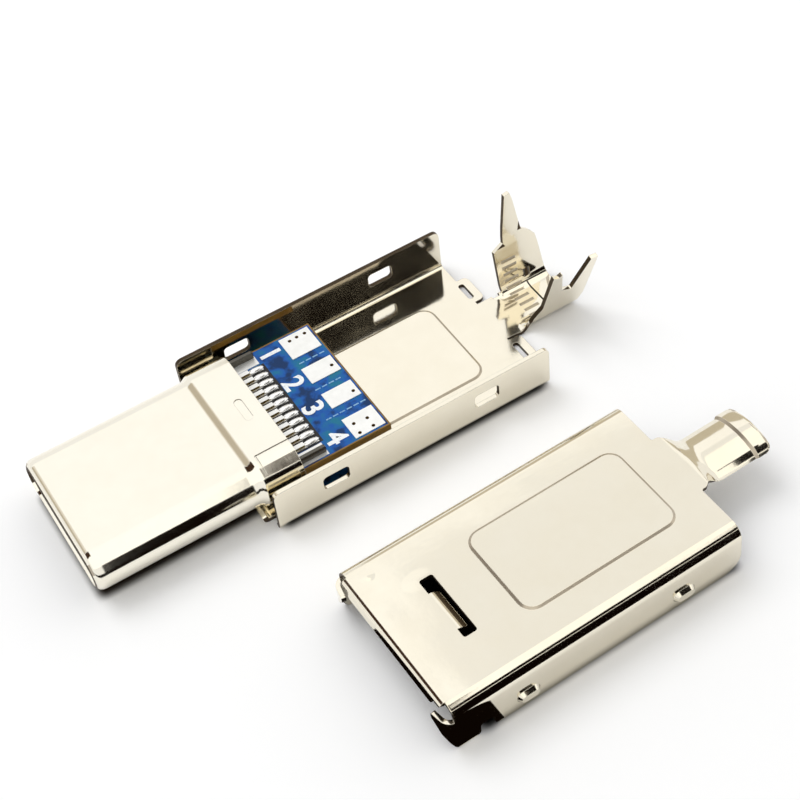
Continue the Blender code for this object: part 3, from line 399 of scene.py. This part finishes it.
@dataclass(frozen=True)
class BoardEdge:
    """Sawn edge of glass-epoxy board: brown gold, with layers of cloth showing along it."""

    name: str
    colour: str = "#5e4419"
    layer: str = "#9a7630"
    layer_mm: float = 0.12
    layer_stretch: tuple[float, float, float] = (0.15, 0.15, 1.0)
    roughness: float = 0.5
    shine: float = 0.3

    def material(self) -> bpy.types.Material:
        """Builds the finish.

        Returns:
            The material.
        """
        material, tree = empty_tree(self.name)
        place = millimetre_place(tree, self.layer_stretch)
        layers = add_node(tree, "ShaderNodeTexNoise", {"Vector": place, "Scale": 1 / self.layer_mm})
        tone = add_node(
            tree,
            "ShaderNodeMix",
            {0: layers.outputs["Fac"], 6: linear(self.colour), 7: linear(self.layer)},
            data_type="RGBA",
        )
        shader = add_node(
            tree,
            "ShaderNodeBsdfPrincipled",
            {"Base Color": tone.outputs[2], "Roughness": self.roughness, "Specular IOR Level": self.shine},
        )
        add_node(tree, "ShaderNodeOutputMaterial", {"Surface": shader.outputs["BSDF"]})
        return material


@dataclass(frozen=True)
class PrintedInk:
    """Marking ink: matt, slightly broken where it is thin."""

    name: str
    colour: str = "#f4f6f6"
    thin: str = "#c9d4df"
    roughness: float = 0.6
    wear_mm: float = 0.111
    wear_detail: float = 3.0
    wear_from: float = 0.5
    wear_full: float = 0.75

    def material(self) -> bpy.types.Material:
        """Builds the finish.

        Returns:
            The material.
        """
        material, tree = empty_tree(self.name)
        place = millimetre_place(tree)
        wear = add_node(
            tree,
            "ShaderNodeTexNoise",
            {"Vector": place, "Scale": 1 / self.wear_mm, "Detail": self.wear_detail},
        )
        share = add_node(
            tree,
            "ShaderNodeMapRange",
            {"Value": wear.outputs["Fac"], "From Min": self.wear_from, "From Max": self.wear_full},
        )
        tone = add_node(
            tree,
            "ShaderNodeMix",
            {0: share.outputs["Result"], 6: linear(self.colour), 7: linear(self.thin)},
            data_type="RGBA",
        )
        shader = add_node(
            tree, "ShaderNodeBsdfPrincipled", {"Base Color": tone.outputs[2], "Roughness": self.roughness}
        )
        add_node(tree, "ShaderNodeOutputMaterial", {"Surface": shader.outputs["BSDF"]})
        return material


# The sheet swells a little beside the cover's slot, and a small dimple lies at the slot's near end.
COVER_MARKS = (
    PressMark((0.95, -12.8, 2.83), (0.9, 0.6, 2.0), 0.014),
    PressMark((-0.85, -11.3, 2.83), (0.4, 0.4, 1.0), 0.03),
)


class Finish(Enum):
    """The finishes of this plug, each built once."""

    # Bright plating over soft folded sheet: mirrors the tent, and the waves bend what it mirrors.
    TRAY = PlatedSteel("bright_nickel_on_folded_tray")
    COVER = PlatedSteel("bright_nickel_on_folded_cover", marks=COVER_MARKS)
    # Drawing evens the sheet out, so the nose is paler and flatter.
    DRAWN = PlatedSteel("bright_nickel_on_drawn_shell", "#f5f1e4", "#eee8d8", ripple_depth_mm=0.012)
    # Shearing leaves the edge dull steel, darkened further as painted shade, which draws the sheet's
    # thickness as a thin dark line.
    SHEARED_AND_SHADED = PlatedSteel(
        "sheared_steel_with_painted_edge_shade", "#5d5142", "#3a2f24", smooth=0.35, dull=0.55, ripple_depth_mm=0.004
    )
    # Painted shade in the pressed lines: greyer and softer than the sheet round them.
    PRESSED_SHADE = PlatedSteel(
        "painted_shade_in_pressed_lines", "#c2b8a7", "#a79c8b", smooth=0.3, dull=0.45, ripple_depth_mm=0.004
    )
    # Unplated spring strip with a satin sheen; its dark grey is partly painted shade for the dark recess it
    # sits in.
    SPRING = PlatedSteel(
        "spring_strip_darkened_as_shade", "#6b6861", "#57544e", smooth=0.2, dull=0.3, ripple_depth_mm=0.01
    )
    # Thin gold on the contacts: warm yellow, a little satin.
    GOLD = PlatedSteel(
        "gold_plate_on_stamped_strip", "#e8cf8d", "#d8b766", smooth=0.2, dull=0.3, ripple_depth_mm=0.01
    )
    # Moulded in a polished tool: near black with a soft sheen. On the tail block, whose resin is grey, the
    # black is painted shade between the tails.
    RESIN = MouldedResin("black_moulded_resin")
    # Dipped solder on the pads: almost white, and lumpy.
    TIN = TinnedCopper("tinned_solder_land")
    # Reflowed solder: brighter and rounder than the dipped pads.
    BEAD = TinnedCopper(
        "frozen_solder_bead",
        "#ffffff",
        "#f0f0ee",
        metallic=0.85,
        roughness=0.2,
        texture_mm=0.3,
        depth_mm=0.008,
    )
    # Painted shade between the fingers: a black brown skin on the board, which sets the bright fingers
    # apart.
    FINGER_SHADE = MouldedResin("painted_shade_between_fingers", "#0a0908", "#17140f", roughness=0.55)
    # Lacquer over copper and over bare board: a deep and a dark blue under one gloss.
    MASK = SolderMask("blue_solder_mask")
    # Sawn through the layers of cloth: brown gold stripes along the edge.
    EDGE = BoardEdge("sawn_board_edge")
    # Screened ink: matt white, thinner in spots.
    INK = PrintedInk("white_marking_ink")
    # The same ink in hairlines: the blue shows through.
    FAINT_INK = PrintedInk("thin_marking_ink", "#7fb1d6", "#2f6fb0")


MATERIALS: dict[Finish, bpy.types.Material] = {}


def finish_of(finish: Finish) -> bpy.types.Material:
    """Gives a finish's material, building it the first time.

    Args:
        finish: which finish.

    Returns:
        Its material.
    """
    if finish not in MATERIALS:
        MATERIALS[finish] = finish.value.material()
    return MATERIALS[finish]


def ridden(piece: bpy.types.Object, slot: str, *nodes: str) -> bpy.types.Object:
    """Puts a finished piece on the root body, in place of its nodes.

    Args:
        piece: finished piece, in place.
        slot: the record's slot for its finish; not used.
        nodes: names of the nodes that it stands for.

    Returns:
        The same piece.
    """
    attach(piece, ROOT)
    if nodes:
        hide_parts(*nodes)
    log.info("built %s for %s", piece.name, ", ".join(nodes) or "the scene")
    return piece


def placed(mesh_tools: bmesh.types.BMesh, name: str) -> bpy.types.Object:
    """Turns a mesh in millimetres into an object of the scene.

    Args:
        mesh_tools: mesh in millimetres, which is freed.
        name: name of the new object.

    Returns:
        The object.
    """
    bmesh.ops.scale(mesh_tools, vec=(MM, MM, MM), verts=mesh_tools.verts[:])
    mesh = bpy.data.meshes.new(name)
    mesh_tools.to_mesh(mesh)
    mesh_tools.free()
    obj = bpy.data.objects.new(name, mesh)
    bpy.context.scene.collection.objects.link(obj)
    return obj


def joined_skin(node: str, name: str, crease_angle: float) -> bpy.types.Object:
    """Copies a node with its loose triangles joined, smooth over bends and sharp at cut edges.

    Args:
        node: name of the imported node.
        name: name of the new piece.
        crease_angle: degrees beyond which an edge stays sharp.

    Returns:
        The new piece, linked to the scene.
    """
    mesh_tools = bmesh.new()
    mesh_tools.from_mesh(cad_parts[node].data)
    bmesh.ops.remove_doubles(mesh_tools, verts=mesh_tools.verts[:], dist=WELD_MM * MM)
    bmesh.ops.dissolve_limit(
        mesh_tools,
        angle_limit=math.radians(FLAT_DEG),
        verts=mesh_tools.verts[:],
        edges=mesh_tools.edges[:],
        delimit={"NORMAL"},
    )
    for face in mesh_tools.faces:
        face.smooth = True
    for edge in mesh_tools.edges:
        edge.smooth = edge.is_manifold and edge.calc_face_angle(math.pi) < math.radians(crease_angle)
    mesh = bpy.data.meshes.new(name)
    mesh_tools.to_mesh(mesh)
    mesh_tools.free()
    piece = bpy.data.objects.new(name, mesh)
    bpy.context.scene.collection.objects.link(piece)
    weighted = piece.modifiers.new("flat_sides_stay_flat", "WEIGHTED_NORMAL")
    weighted.keep_sharp = True
    return piece


@dataclass
class PlatedPart:
    """One stamping or moulding, dressed as a joined skin over its node."""

    node: str
    slot: str
    finish: Finish
    crease_angle: float = 35.0

    def build(self) -> bpy.types.Object:
        """Builds the skin.

        Returns:
            The piece.
        """
        piece = joined_skin(self.node, f"{self.node}_dressed", self.crease_angle)
        piece.data.materials.append(finish_of(self.finish))
        return ridden(piece, self.slot, self.node)


@dataclass
class PressedSheet(PlatedPart):
    """A plated stamping whose sheared edges show dull steel darkened as painted shade, and whose pressed
    lines are painted shade.

    A face is a sheared edge where it is narrow for the length along which the sheet turns sharply,
    and a pressed line where it is narrow for the length along which it turns a little.
    """

    edge_share_mm: float = 0.14
    edge_turn_deg: tuple[float, float] = (60.0, 120.0)
    line_share_mm: float = 0.1
    line_turn_deg: tuple[float, float] = (20.0, 45.0)
    upright_from: float = 0.6
    far_wall_mm: float = 4.7
    forward_from: float = 0.9
    mouth_mm: float = -10.7
    tongue_mm: tuple[float, float, float, float] = (0.7, 1.9, -16.6, -12.6)
    tongue_upright_from: float = 0.2
    holds_mm: tuple[float, ...] = ()

    def build(self) -> bpy.types.Object:
        """Builds the skin, then gives the cut edges and the pressed lines their finishes.

        Returns:
            The piece.
        """
        piece = super().build()
        piece.data.materials.append(finish_of(Finish.SHEARED_AND_SHADED))
        piece.data.materials.append(finish_of(Finish.PRESSED_SHADE))
        mesh_tools = bmesh.new()
        mesh_tools.from_mesh(piece.data)
        for face in mesh_tools.faces:
            place = face.calc_center_median() / MM
            # Upward cut faces keep the plating, except along the tray's far wall, whose top edge is
            # darkened as painted shade.
            upright = face.normal.z > self.upright_from and place.y < self.far_wall_mm
            at_mouth = face.normal.x < -self.forward_from and place.x < self.mouth_mm
            cut = face.calc_area() < self.edge_share_mm * MM * self.turned(face, *self.edge_turn_deg)
            line = face.calc_area() < self.line_share_mm * MM * self.turned(face, *self.line_turn_deg)
            if at_mouth or (cut and not upright and not self.on_tongue(face)):
                face.material_index = 1
            elif line:
                face.material_index = 2
        for x in self.holds_mm:
            everything = mesh_tools.verts[:] + mesh_tools.edges[:] + mesh_tools.faces[:]
            bmesh.ops.bisect_plane(
                mesh_tools,
                geom=everything,
                dist=CUT_SLACK_MM * MM,
                plane_co=(x * MM, 0, 0),
                plane_no=(1, 0, 0),
            )
        mesh_tools.to_mesh(piece.data)
        mesh_tools.free()
        return piece

    def on_tongue(self, face: bmesh.types.BMFace) -> bool:
        """Tells whether a face is the plated side of the tongue in the cover's slot.

        Args:
            face: the face.

        Returns:
            True where it is.
        """
        low_x, high_x, low_y, high_y = self.tongue_mm
        place = face.calc_center_median() / MM
        inside = low_x < place.x < high_x and low_y < place.y < high_y
        return inside and face.normal.z > self.tongue_upright_from

    def turned(self, face: bmesh.types.BMFace, least: float, most: float) -> float:
        """Adds up the edges of a face at which the sheet's surface turns by a given angle.

        Args:
            face: the face.
            least: smallest angle, in degrees.
            most: largest angle, in degrees.

        Returns:
            Their length in metres.
        """
        return sum(
            edge.calc_length()
            for edge in face.edges
            if edge.is_manifold and least < math.degrees(edge.calc_face_angle(0.0)) < most
        )


@dataclass
class FoldedShells:
    """The tray with its crimp, and the cover that lies beside it."""

    crease_angle: float = 25.0

    def build(self) -> None:
        """Builds both shells."""
        PressedSheet("lower_shell", "nickel_plate", Finish.TRAY, self.crease_angle).build()
        PressedSheet("upper_shell", "nickel_plate", Finish.COVER, self.crease_angle).build()


@dataclass
class PlugNose:
    """The drawn shell and what it holds: housing, spring plates and side latches."""

    latches: tuple[str, ...] = ("left_latch", "right_latch")
    springs: tuple[str, ...] = ("upper_spring_plate", "lower_spring_plate")

    def build(self) -> None:
        """Builds the nose and dresses the nodes inside it."""
        PressedSheet("plug_shell", "drawn_nickel", Finish.DRAWN, 40.0, holds_mm=(-10.2, -2.6, -1.9)).build()
        PlatedPart("contact_housing", "black_resin", Finish.RESIN, 30.0).build()
        for node in self.latches + self.springs:
            PlatedPart(node, "spring_steel", Finish.SPRING, 30.0).build()


@dataclass
class ContactRows:
    """The two rows of contacts, the block that their tails leave, and the solder on the tails."""

    count: int = 12
    missing_below: tuple[int, ...] = (6, 7)
    pitch_mm: float = 0.5
    tinned_from_mm: float = -1.2
    bead_start_mm: float = 0.62
    bead_end_mm: float = 1.58
    bead_width_mm: float = 0.34
    bead_rise_mm: float = 0.17
    bead_sink_mm: float = 0.01
    foot_mm: float = 0.02
    foot_share: float = 0.1
    land_top_mm: float = 1.98

    def build(self) -> None:
        """Dresses the block and each contact, then adds the solder."""
        # The grey tail block takes the black resin finish: painted shade in the gaps between the tails.
        PlatedPart("tail_block", "grey_resin", Finish.RESIN, 30.0).build()
        names = [f"upper_contact_{i:02d}" for i in range(1, self.count + 1)]
        names += [
            f"lower_contact_{i:02d}" for i in range(1, self.count + 1) if i not in self.missing_below
        ]
        for name in names:
            contact = PlatedPart(name, "gold_plate", Finish.GOLD, 35.0).build()
            contact.data.materials.append(finish_of(Finish.TIN))
            for face in contact.data.polygons:
                if face.center.x > self.tinned_from_mm * MM:
                    face.material_index = 1
        self.build_beads()

    def build_beads(self) -> None:
        """Builds the rounded solder bead over each upper tail's end, its foot pressed flat on the land."""
        mesh_tools = bmesh.new()
        middle = (self.bead_start_mm + self.bead_end_mm) / 2
        half = (self.bead_end_mm - self.bead_start_mm) / 2
        foot_z = self.land_top_mm - self.foot_mm
        for index in range(self.count):
            y = (index - (self.count - 1) / 2) * self.pitch_mm
            size = Matrix.Diagonal((half, self.bead_width_mm / 2, self.bead_rise_mm, 1.0))
            where = Matrix.Translation((middle, y, self.land_top_mm - self.bead_sink_mm))
            made = bmesh.ops.create_icosphere(mesh_tools, subdivisions=3, radius=1.0, matrix=where @ size)
            under = [vert for vert in made["verts"] if vert.co.z < foot_z]
            to_foot = Matrix.Translation((0, 0, -foot_z))
            bmesh.ops.scale(mesh_tools, vec=(1, 1, self.foot_share), space=to_foot, verts=under)
        for face in mesh_tools.faces:
            face.smooth = True
        beads = placed(mesh_tools, "finger_solder")
        beads.data.materials.append(finish_of(Finish.BEAD))
        ridden(beads, "solder_mask")


@dataclass
class SolderBoard:
    """The small board: masked faces, sawn edge, tinned lands, and plain numbers beside the pads."""

    lands_above_mm: float = 1.955
    top_mm: float = 1.94
    border_mm: float = 0.08
    rear_mm: float = 4.8
    half_width_mm: float = 3.99
    finger_shade_mm: tuple[float, float] = (1.68, 2.98)
    number_height_mm: float = 1.5
    number_weight_mm: float = 0.035
    ink_mm: float = 0.012
    numbers: tuple[tuple[str, float, float], ...] = (
        ("1", 2.2, 3.3),
        ("2", 2.2, 0.95),
        ("3", 2.2, -0.98),
        ("4", 2.2, -3.2),
    )
    dash_lines: tuple[tuple[float, float, float], ...] = (
        (3.1, 4.6, 1.87),
        (2.9, 4.7, -0.08),
        (2.4, 4.7, -2.0),
    )
    dash_mm: float = 0.28
    dash_gap_mm: float = 0.1
    dash_width_mm: float = 0.07
    sideways_to: float = 0.5

    def build(self) -> None:
        """Builds the board and what is printed on it."""
        self.build_body()
        self.build_numbers()
        self.build_dashes()

    def build_body(self) -> None:
        """Builds the board's skin, and gives each face the finish of what it belongs to; the board between
        the fingers is painted shade.
        """
        piece = joined_skin("circuit_board", "board_masked", 30.0)
        mesh_tools = bmesh.new()
        mesh_tools.from_mesh(piece.data)
        rear = self.rear_mm - self.border_mm
        side = self.half_width_mm - self.border_mm
        shade_rear, shade_side = self.finger_shade_mm
        lengthwise = [((x, 0, 0), (1, 0, 0)) for x in (rear, shade_rear)]
        crosswise = [((0, y, 0), (0, 1, 0)) for y in (side, -side, shade_side, -shade_side)]
        for place, normal in lengthwise + crosswise:
            everything = mesh_tools.verts[:] + mesh_tools.edges[:] + mesh_tools.faces[:]
            bmesh.ops.bisect_plane(
                mesh_tools,
                geom=everything,
                dist=CUT_SLACK_MM * MM,
                plane_co=Vector(place) * MM,
                plane_no=normal,
            )
        mesh_tools.to_mesh(piece.data)
        mesh_tools.free()
        for finish in (Finish.MASK, Finish.EDGE, Finish.TIN, Finish.FINGER_SHADE):
            piece.data.materials.append(finish_of(finish))
        for face in piece.data.polygons:
            place = face.center / MM
            if place.z > self.lands_above_mm:
                face.material_index = 2
            # Painted shade: the board between the fingers is drawn near black.
            elif place.x < shade_rear and abs(place.y) < shade_side:
                face.material_index = 3
            elif abs(face.normal.z) < self.sideways_to or place.x > rear or abs(place.y) > side:
                face.material_index = 1
        ridden(piece, "solder_mask", "circuit_board")

    def build_numbers(self) -> None:
        """Builds the plain numbers as thin ink on the mask."""
        for text, x, y in self.numbers:
            curve = bpy.data.curves.new(f"pad_number_{text}", "FONT")
            curve.body = text
            curve.align_x, curve.align_y = "CENTER", "CENTER"
            curve.size = self.number_height_mm * MM
            curve.offset = self.number_weight_mm * MM
            curve.extrude = self.ink_mm * MM / 2
            letter = bpy.data.objects.new(f"pad_number_{text}_curve", curve)
            bpy.context.scene.collection.objects.link(letter)
            bpy.context.view_layer.update()
            mesh = bpy.data.meshes.new_from_object(letter)
            bpy.data.objects.remove(letter)
            place = Matrix.Translation(Vector((x, y, self.top_mm + self.ink_mm / 2)) * MM)
            mesh.transform(place @ Matrix.Rotation(math.radians(-90), 4, "Z"))
            mesh.materials.clear()
            mesh.materials.append(finish_of(Finish.INK))
            piece = bpy.data.objects.new(f"pad_number_{text}", mesh)
            bpy.context.scene.collection.objects.link(piece)
            ridden(piece, "solder_mask")

    def build_dashes(self) -> None:
        """Builds the faint dashed lines between the pads."""
        mesh_tools = bmesh.new()
        for start, end, y in self.dash_lines:
            x = start
            while x + self.dash_mm < end:
                size = Matrix.Diagonal((self.dash_mm, self.dash_width_mm, self.ink_mm, 1.0))
                where = Matrix.Translation((x + self.dash_mm / 2, y, self.top_mm + self.ink_mm / 2))
                bmesh.ops.create_cube(mesh_tools, size=1.0, matrix=where @ size)
                x += self.dash_mm + self.dash_gap_mm
        dashes = placed(mesh_tools, "pad_dashes")
        dashes.data.materials.append(finish_of(Finish.FAINT_INK))
        ridden(dashes, "solder_mask")


@dataclass
class Viewpoint:
    """The camera at the photograph's place, solved from points on the nose, the tray and the cover."""

    place_mm: tuple[float, float, float] = (-16.65, -49.63, 63.5)
    right: tuple[float, float, float] = (0.846834, -0.524713, -0.08688)
    up: tuple[float, float, float] = (0.451832, 0.62358, 0.637962)
    back: tuple[float, float, float] = (-0.280571, -0.579503, 0.765151)
    lens_mm: float = 75.54
    sensor_mm: float = 36.0
    nearest_mm: float = 1.0
    farthest_mm: float = 5000.0

    def build(self) -> bpy.types.Object:
        """Makes the camera and sets it as the scene's.

        Returns:
            The camera.
        """
        data = bpy.data.cameras.new("viewpoint")
        data.lens, data.sensor_width, data.sensor_fit = self.lens_mm, self.sensor_mm, "HORIZONTAL"
        data.clip_start, data.clip_end = self.nearest_mm * MM, self.farthest_mm * MM
        camera = bpy.data.objects.new("viewpoint", data)
        bpy.context.scene.collection.objects.link(camera)
        turn = Matrix((self.right, self.up, self.back)).transposed().to_4x4()
        camera.matrix_world = Matrix.Translation(Vector(self.place_mm) * MM) @ turn
        bpy.context.scene.camera = camera
        return camera


@dataclass(frozen=True)
class TentPanel:
    """One curved panel of the light tent, a strip of a cylinder over the table.

    Its axis runs along X, or along Y where across is set. Angles are counted in degrees from the
    horizon on the far side (or on the right) over the top. The plating mirrors it, or, where
    lights_table is set, it only counts for the light that falls on the table.
    """

    name: str
    start_deg: float
    end_deg: float
    low_mm: float
    high_mm: float
    radius_mm: float
    colour: str
    strength: float = 1.0
    across: bool = False
    lights_table: bool = False
    step_deg: float = 3.0
    centre_mm: tuple[float, float, float] = (3.0, -7.0, 1.5)

    def build(self) -> bpy.types.Object:
        """Makes the panel.

        Returns:
            The panel's object.
        """
        mesh_tools = bmesh.new()
        ends = [mesh_tools.verts.new((x, self.radius_mm, 0.0)) for x in (self.low_mm, self.high_mm)]
        edge = mesh_tools.edges.new(ends)
        to_start = Matrix.Rotation(math.radians(self.start_deg), 3, "X")
        bmesh.ops.rotate(mesh_tools, verts=ends, matrix=to_start)
        turn_deg = self.end_deg - self.start_deg
        bmesh.ops.spin(
            mesh_tools,
            geom=ends + [edge],
            cent=(0, 0, 0),
            axis=(1, 0, 0),
            angle=math.radians(turn_deg),
            steps=math.ceil(turn_deg / self.step_deg),
            use_merge=False,
        )
        if self.across:
            to_side = Matrix.Rotation(math.radians(-90), 3, "Z")
            bmesh.ops.rotate(mesh_tools, verts=mesh_tools.verts[:], matrix=to_side)
        bmesh.ops.translate(mesh_tools, verts=mesh_tools.verts[:], vec=self.centre_mm)
        panel = placed(mesh_tools, self.name)
        material, tree = empty_tree(f"{self.name}_cloth")
        glow = add_node(
            tree, "ShaderNodeEmission", {"Color": linear(self.colour), "Strength": self.strength}
        )
        add_node(tree, "ShaderNodeOutputMaterial", {"Surface": glow.outputs["Emission"]})
        panel.data.materials.append(material)
        panel.visible_camera = False
        panel.visible_diffuse = self.lights_table
        panel.visible_glossy = not self.lights_table
        panel.visible_transmission = False
        panel.visible_shadow = False
        return panel


@dataclass(frozen=True)
class DarkSheet:
    """A dark sheet on the table: under a piece as a painted contact shadow, or low beside it and only
    mirrored in it.
    """

    name: str
    centre_mm: tuple[float, float]
    half_mm: tuple[float, float]
    height_mm: float
    colour: str
    seen: bool
    turn_deg: float = 0.0
    fade_mm: float = 0.75

    def build(self) -> bpy.types.Object:
        """Makes the sheet.

        Returns:
            The sheet's object.
        """
        mesh_tools = bmesh.new()
        turn = Matrix.Rotation(math.radians(self.turn_deg), 4, "Z")
        size = Matrix.Diagonal((*self.half_mm, 1.0, 1.0))
        where = Matrix.Translation((*self.centre_mm, self.height_mm)) @ turn @ size
        mesh_tools.loops.layers.uv.new("sheet")
        bmesh.ops.create_grid(mesh_tools, x_segments=1, y_segments=1, size=1.0, matrix=where, calc_uvs=True)
        sheet = placed(mesh_tools, self.name)
        material, tree = empty_tree(f"{self.name}_paper")
        # A seen sheet is painted shadow on the table; the others only show in the plating.
        if self.seen:
            paper = self.faded(tree)
        else:
            paper = add_node(tree, "ShaderNodeEmission", {"Color": linear(self.colour)}).outputs["Emission"]
        add_node(tree, "ShaderNodeOutputMaterial", {"Surface": paper})
        sheet.data.materials.append(material)
        sheet.visible_camera = self.seen
        sheet.visible_diffuse = self.seen
        sheet.visible_transmission = self.seen
        sheet.visible_shadow = self.seen
        return sheet

    def faded(self, tree: bpy.types.NodeTree) -> bpy.types.NodeSocket:
        """Adds a painted contact shadow: a dark matt surface that fades out toward the sheet's edges.

        Args:
            tree: node tree that takes the nodes.

        Returns:
            The shader output.
        """
        place = add_node(tree, "ShaderNodeTexCoord").outputs["UV"]
        axes = add_node(tree, "ShaderNodeSeparateXYZ", {"Vector": place})
        shares = []
        for axis, half in zip(("X", "Y"), self.half_mm):
            inward = add_node(
                tree, "ShaderNodeMath", {0: axes.outputs[axis], 1: 0.5}, operation="PINGPONG"
            )
            share = add_node(
                tree,
                "ShaderNodeMapRange",
                {"Value": inward.outputs[0], "From Max": self.fade_mm / (2 * half)},
                interpolation_type="SMOOTHSTEP",
            )
            shares.append(share.outputs["Result"])
        cover = add_node(tree, "ShaderNodeMath", {0: shares[0], 1: shares[1]}, operation="MULTIPLY")
        dark = add_node(tree, "ShaderNodeBsdfDiffuse", {"Color": linear(self.colour)})
        clear = add_node(tree, "ShaderNodeBsdfTransparent")
        mixed = add_node(
            tree,
            "ShaderNodeMixShader",
            {0: cover.outputs[0], 1: clear.outputs["BSDF"], 2: dark.outputs["BSDF"]},
        )
        return mixed.outputs["Shader"]


@dataclass
class Studio:
    """White table in a light tent whose panels are what the plating mirrors."""

    floor_mm: float = 3000.0
    table_seen: str = "#ffffff"
    table_lighting: str = "#eeeeec"
    fill: float = 0.86
    lamp_direction: tuple[float, float, float] = (-0.2, 0.5, 0.84)
    lamp_distance_mm: float = 700.0
    lamp_side_mm: float = 420.0
    lamp_level: float = 3.0
    panels: tuple[TentPanel, ...] = (
        # The flat tops and the near bends' upper halves mirror these four.
        TentPanel("far_low_panel", 12, 38, 120, 1100, 595, "#cfc6b4"),
        TentPanel("far_panel", 33, 58, -900, 1100, 600, "#ffffff", 1.15),
        TentPanel("front_gap_panel", 58, 69, -900, 139, 600, "#ffffff", 1.2),
        TentPanel("overhead_panel", 69, 146, -900, 1100, 600, "#fffdf8", 1.3),
        # The dark lines along the near bends, and the tray's far wall from inside.
        TentPanel("near_dark_panel", 144, 181, 20, 350, 590, "#0a0402"),
        TentPanel("near_dark_corner", 124.5, 141.5, 140, 350, 588, "#0a0502"),
        # No light reaches the table from the near side, so the shadows there are deep.
        TentPanel("near_room_panel", 140, 181, -700, 700, 500, "#0a0402", lights_table=True),
        # The barrel's near side, and the brown tone at the front of the tray.
        TentPanel("barrel_dark_panel", 104, 141.5, 286, 420, 584, "#0a0502"),
        TentPanel("brown_strip", 99, 141.5, 108, 140, 586, "#2c1d10"),
        # The step behind the nose and the cover's front bend mirror the left side.
        TentPanel("left_pale_panel", 110, 127, -430, -265, 402, "#ece6db", across=True),
        TentPanel("left_grey_panel", 127, 152, -430, -265, 400, "#c6bcac", across=True),
        TentPanel("left_brown_panel", 100, 146, -255, -50, 400, "#3a2415", across=True),
    )
    # Two long sheets that the near sides mirror low down, then painted shadows: dark sheets for the shade
    # in the gaps under the pieces.
    dark_sheets: tuple[DarkSheet, ...] = (
        DarkSheet("dark_sheet_by_plug", (-29.5, -306), (30.5, 294), 0.06, "#0c0603", False),
        DarkSheet("dark_sheet_by_cover", (163.75, -312.5), (166.25, 287.5), 0.06, "#0c0603", False),
        DarkSheet("painted_shadow_under_cover", (6.8, -14.44), (7.3, 4.85), 0.004, "#120d09", True, 1.63),
        DarkSheet("painted_shadow_under_tray", (5.6, 0.0), (7.7, 5.42), 0.004, "#1e1812", True),
        DarkSheet("painted_shadow_under_plug", (-6.2, 0.0), (4.9, 3.9), 0.004, "#2e261e", True),
    )
    staged: list[bpy.types.Object] = field(default_factory=list)

    def build(self) -> None:
        """Builds the floor, the world, the lamp, the panels and the dark sheets."""
        self.build_floor()
        self.build_world()
        self.build_lamp()
        self.staged += [panel.build() for panel in self.panels]
        self.staged += [sheet.build() for sheet in self.dark_sheets]

    def build_floor(self) -> None:
        """Makes the white table, which keeps the soft shadow."""
        mesh_tools = bmesh.new()
        bmesh.ops.create_grid(mesh_tools, x_segments=1, y_segments=1, size=self.floor_mm / 2)
        floor = placed(mesh_tools, "white_table")
        material, tree = empty_tree("white_table_paper")
        tone = add_node(
            tree,
            "ShaderNodeMix",
            {0: seen_or_mirrored(tree), 6: linear(self.table_lighting), 7: linear(self.table_seen)},
            data_type="RGBA",
        )
        paper = add_node(tree, "ShaderNodeBsdfDiffuse", {"Color": tone.outputs[2]})
        add_node(tree, "ShaderNodeOutputMaterial", {"Surface": paper.outputs["BSDF"]})
        floor.data.materials.append(material)
        self.staged.append(floor)

    def build_world(self) -> None:
        """Makes the even white surround: full white where it is seen or mirrored."""
        world = bpy.data.worlds.new("light_tent")
        world.use_nodes = True
        tree = world.node_tree
        tree.nodes.clear()
        level = add_node(
            tree,
            "ShaderNodeMapRange",
            {"Value": seen_or_mirrored(tree), "To Min": self.fill, "To Max": 1.0},
        )
        back = add_node(
            tree, "ShaderNodeBackground", {"Color": linear("#ffffff"), "Strength": level.outputs["Result"]}
        )
        add_node(tree, "ShaderNodeOutputWorld", {"Surface": back.outputs["Background"]})
        bpy.context.scene.world = world

    def build_lamp(self) -> None:
        """Hangs the soft lamp that gives the shadows their side. The panels stand for it in the plating."""
        # The level is per unit of the lamp's area, so a larger lamp is only softer.
        data = bpy.data.lights.new("softbox", "AREA")
        data.shape, data.size = "SQUARE", self.lamp_side_mm * MM
        data.energy = self.lamp_level * math.pi * data.size**2
        lamp = bpy.data.objects.new("softbox", data)
        bpy.context.scene.collection.objects.link(lamp)
        away = Vector(self.lamp_direction).normalized()
        turn = away.to_track_quat("Z", "Y").to_matrix().to_4x4()
        lamp.matrix_world = Matrix.Translation(away * self.lamp_distance_mm * MM) @ turn
        lamp.visible_glossy = False


def main() -> None:
    """Builds each sub-assembly in order, then the studio."""
    logging.basicConfig(level=logging.INFO, format="%(message)s")
    bpy.context.scene.view_settings.view_transform = "Standard"
    Viewpoint().build()
    FoldedShells().build()
    PlugNose().build()
    ContactRows().build()
    SolderBoard().build()
    Studio().build()


if __name__ == "__main__":
    main()
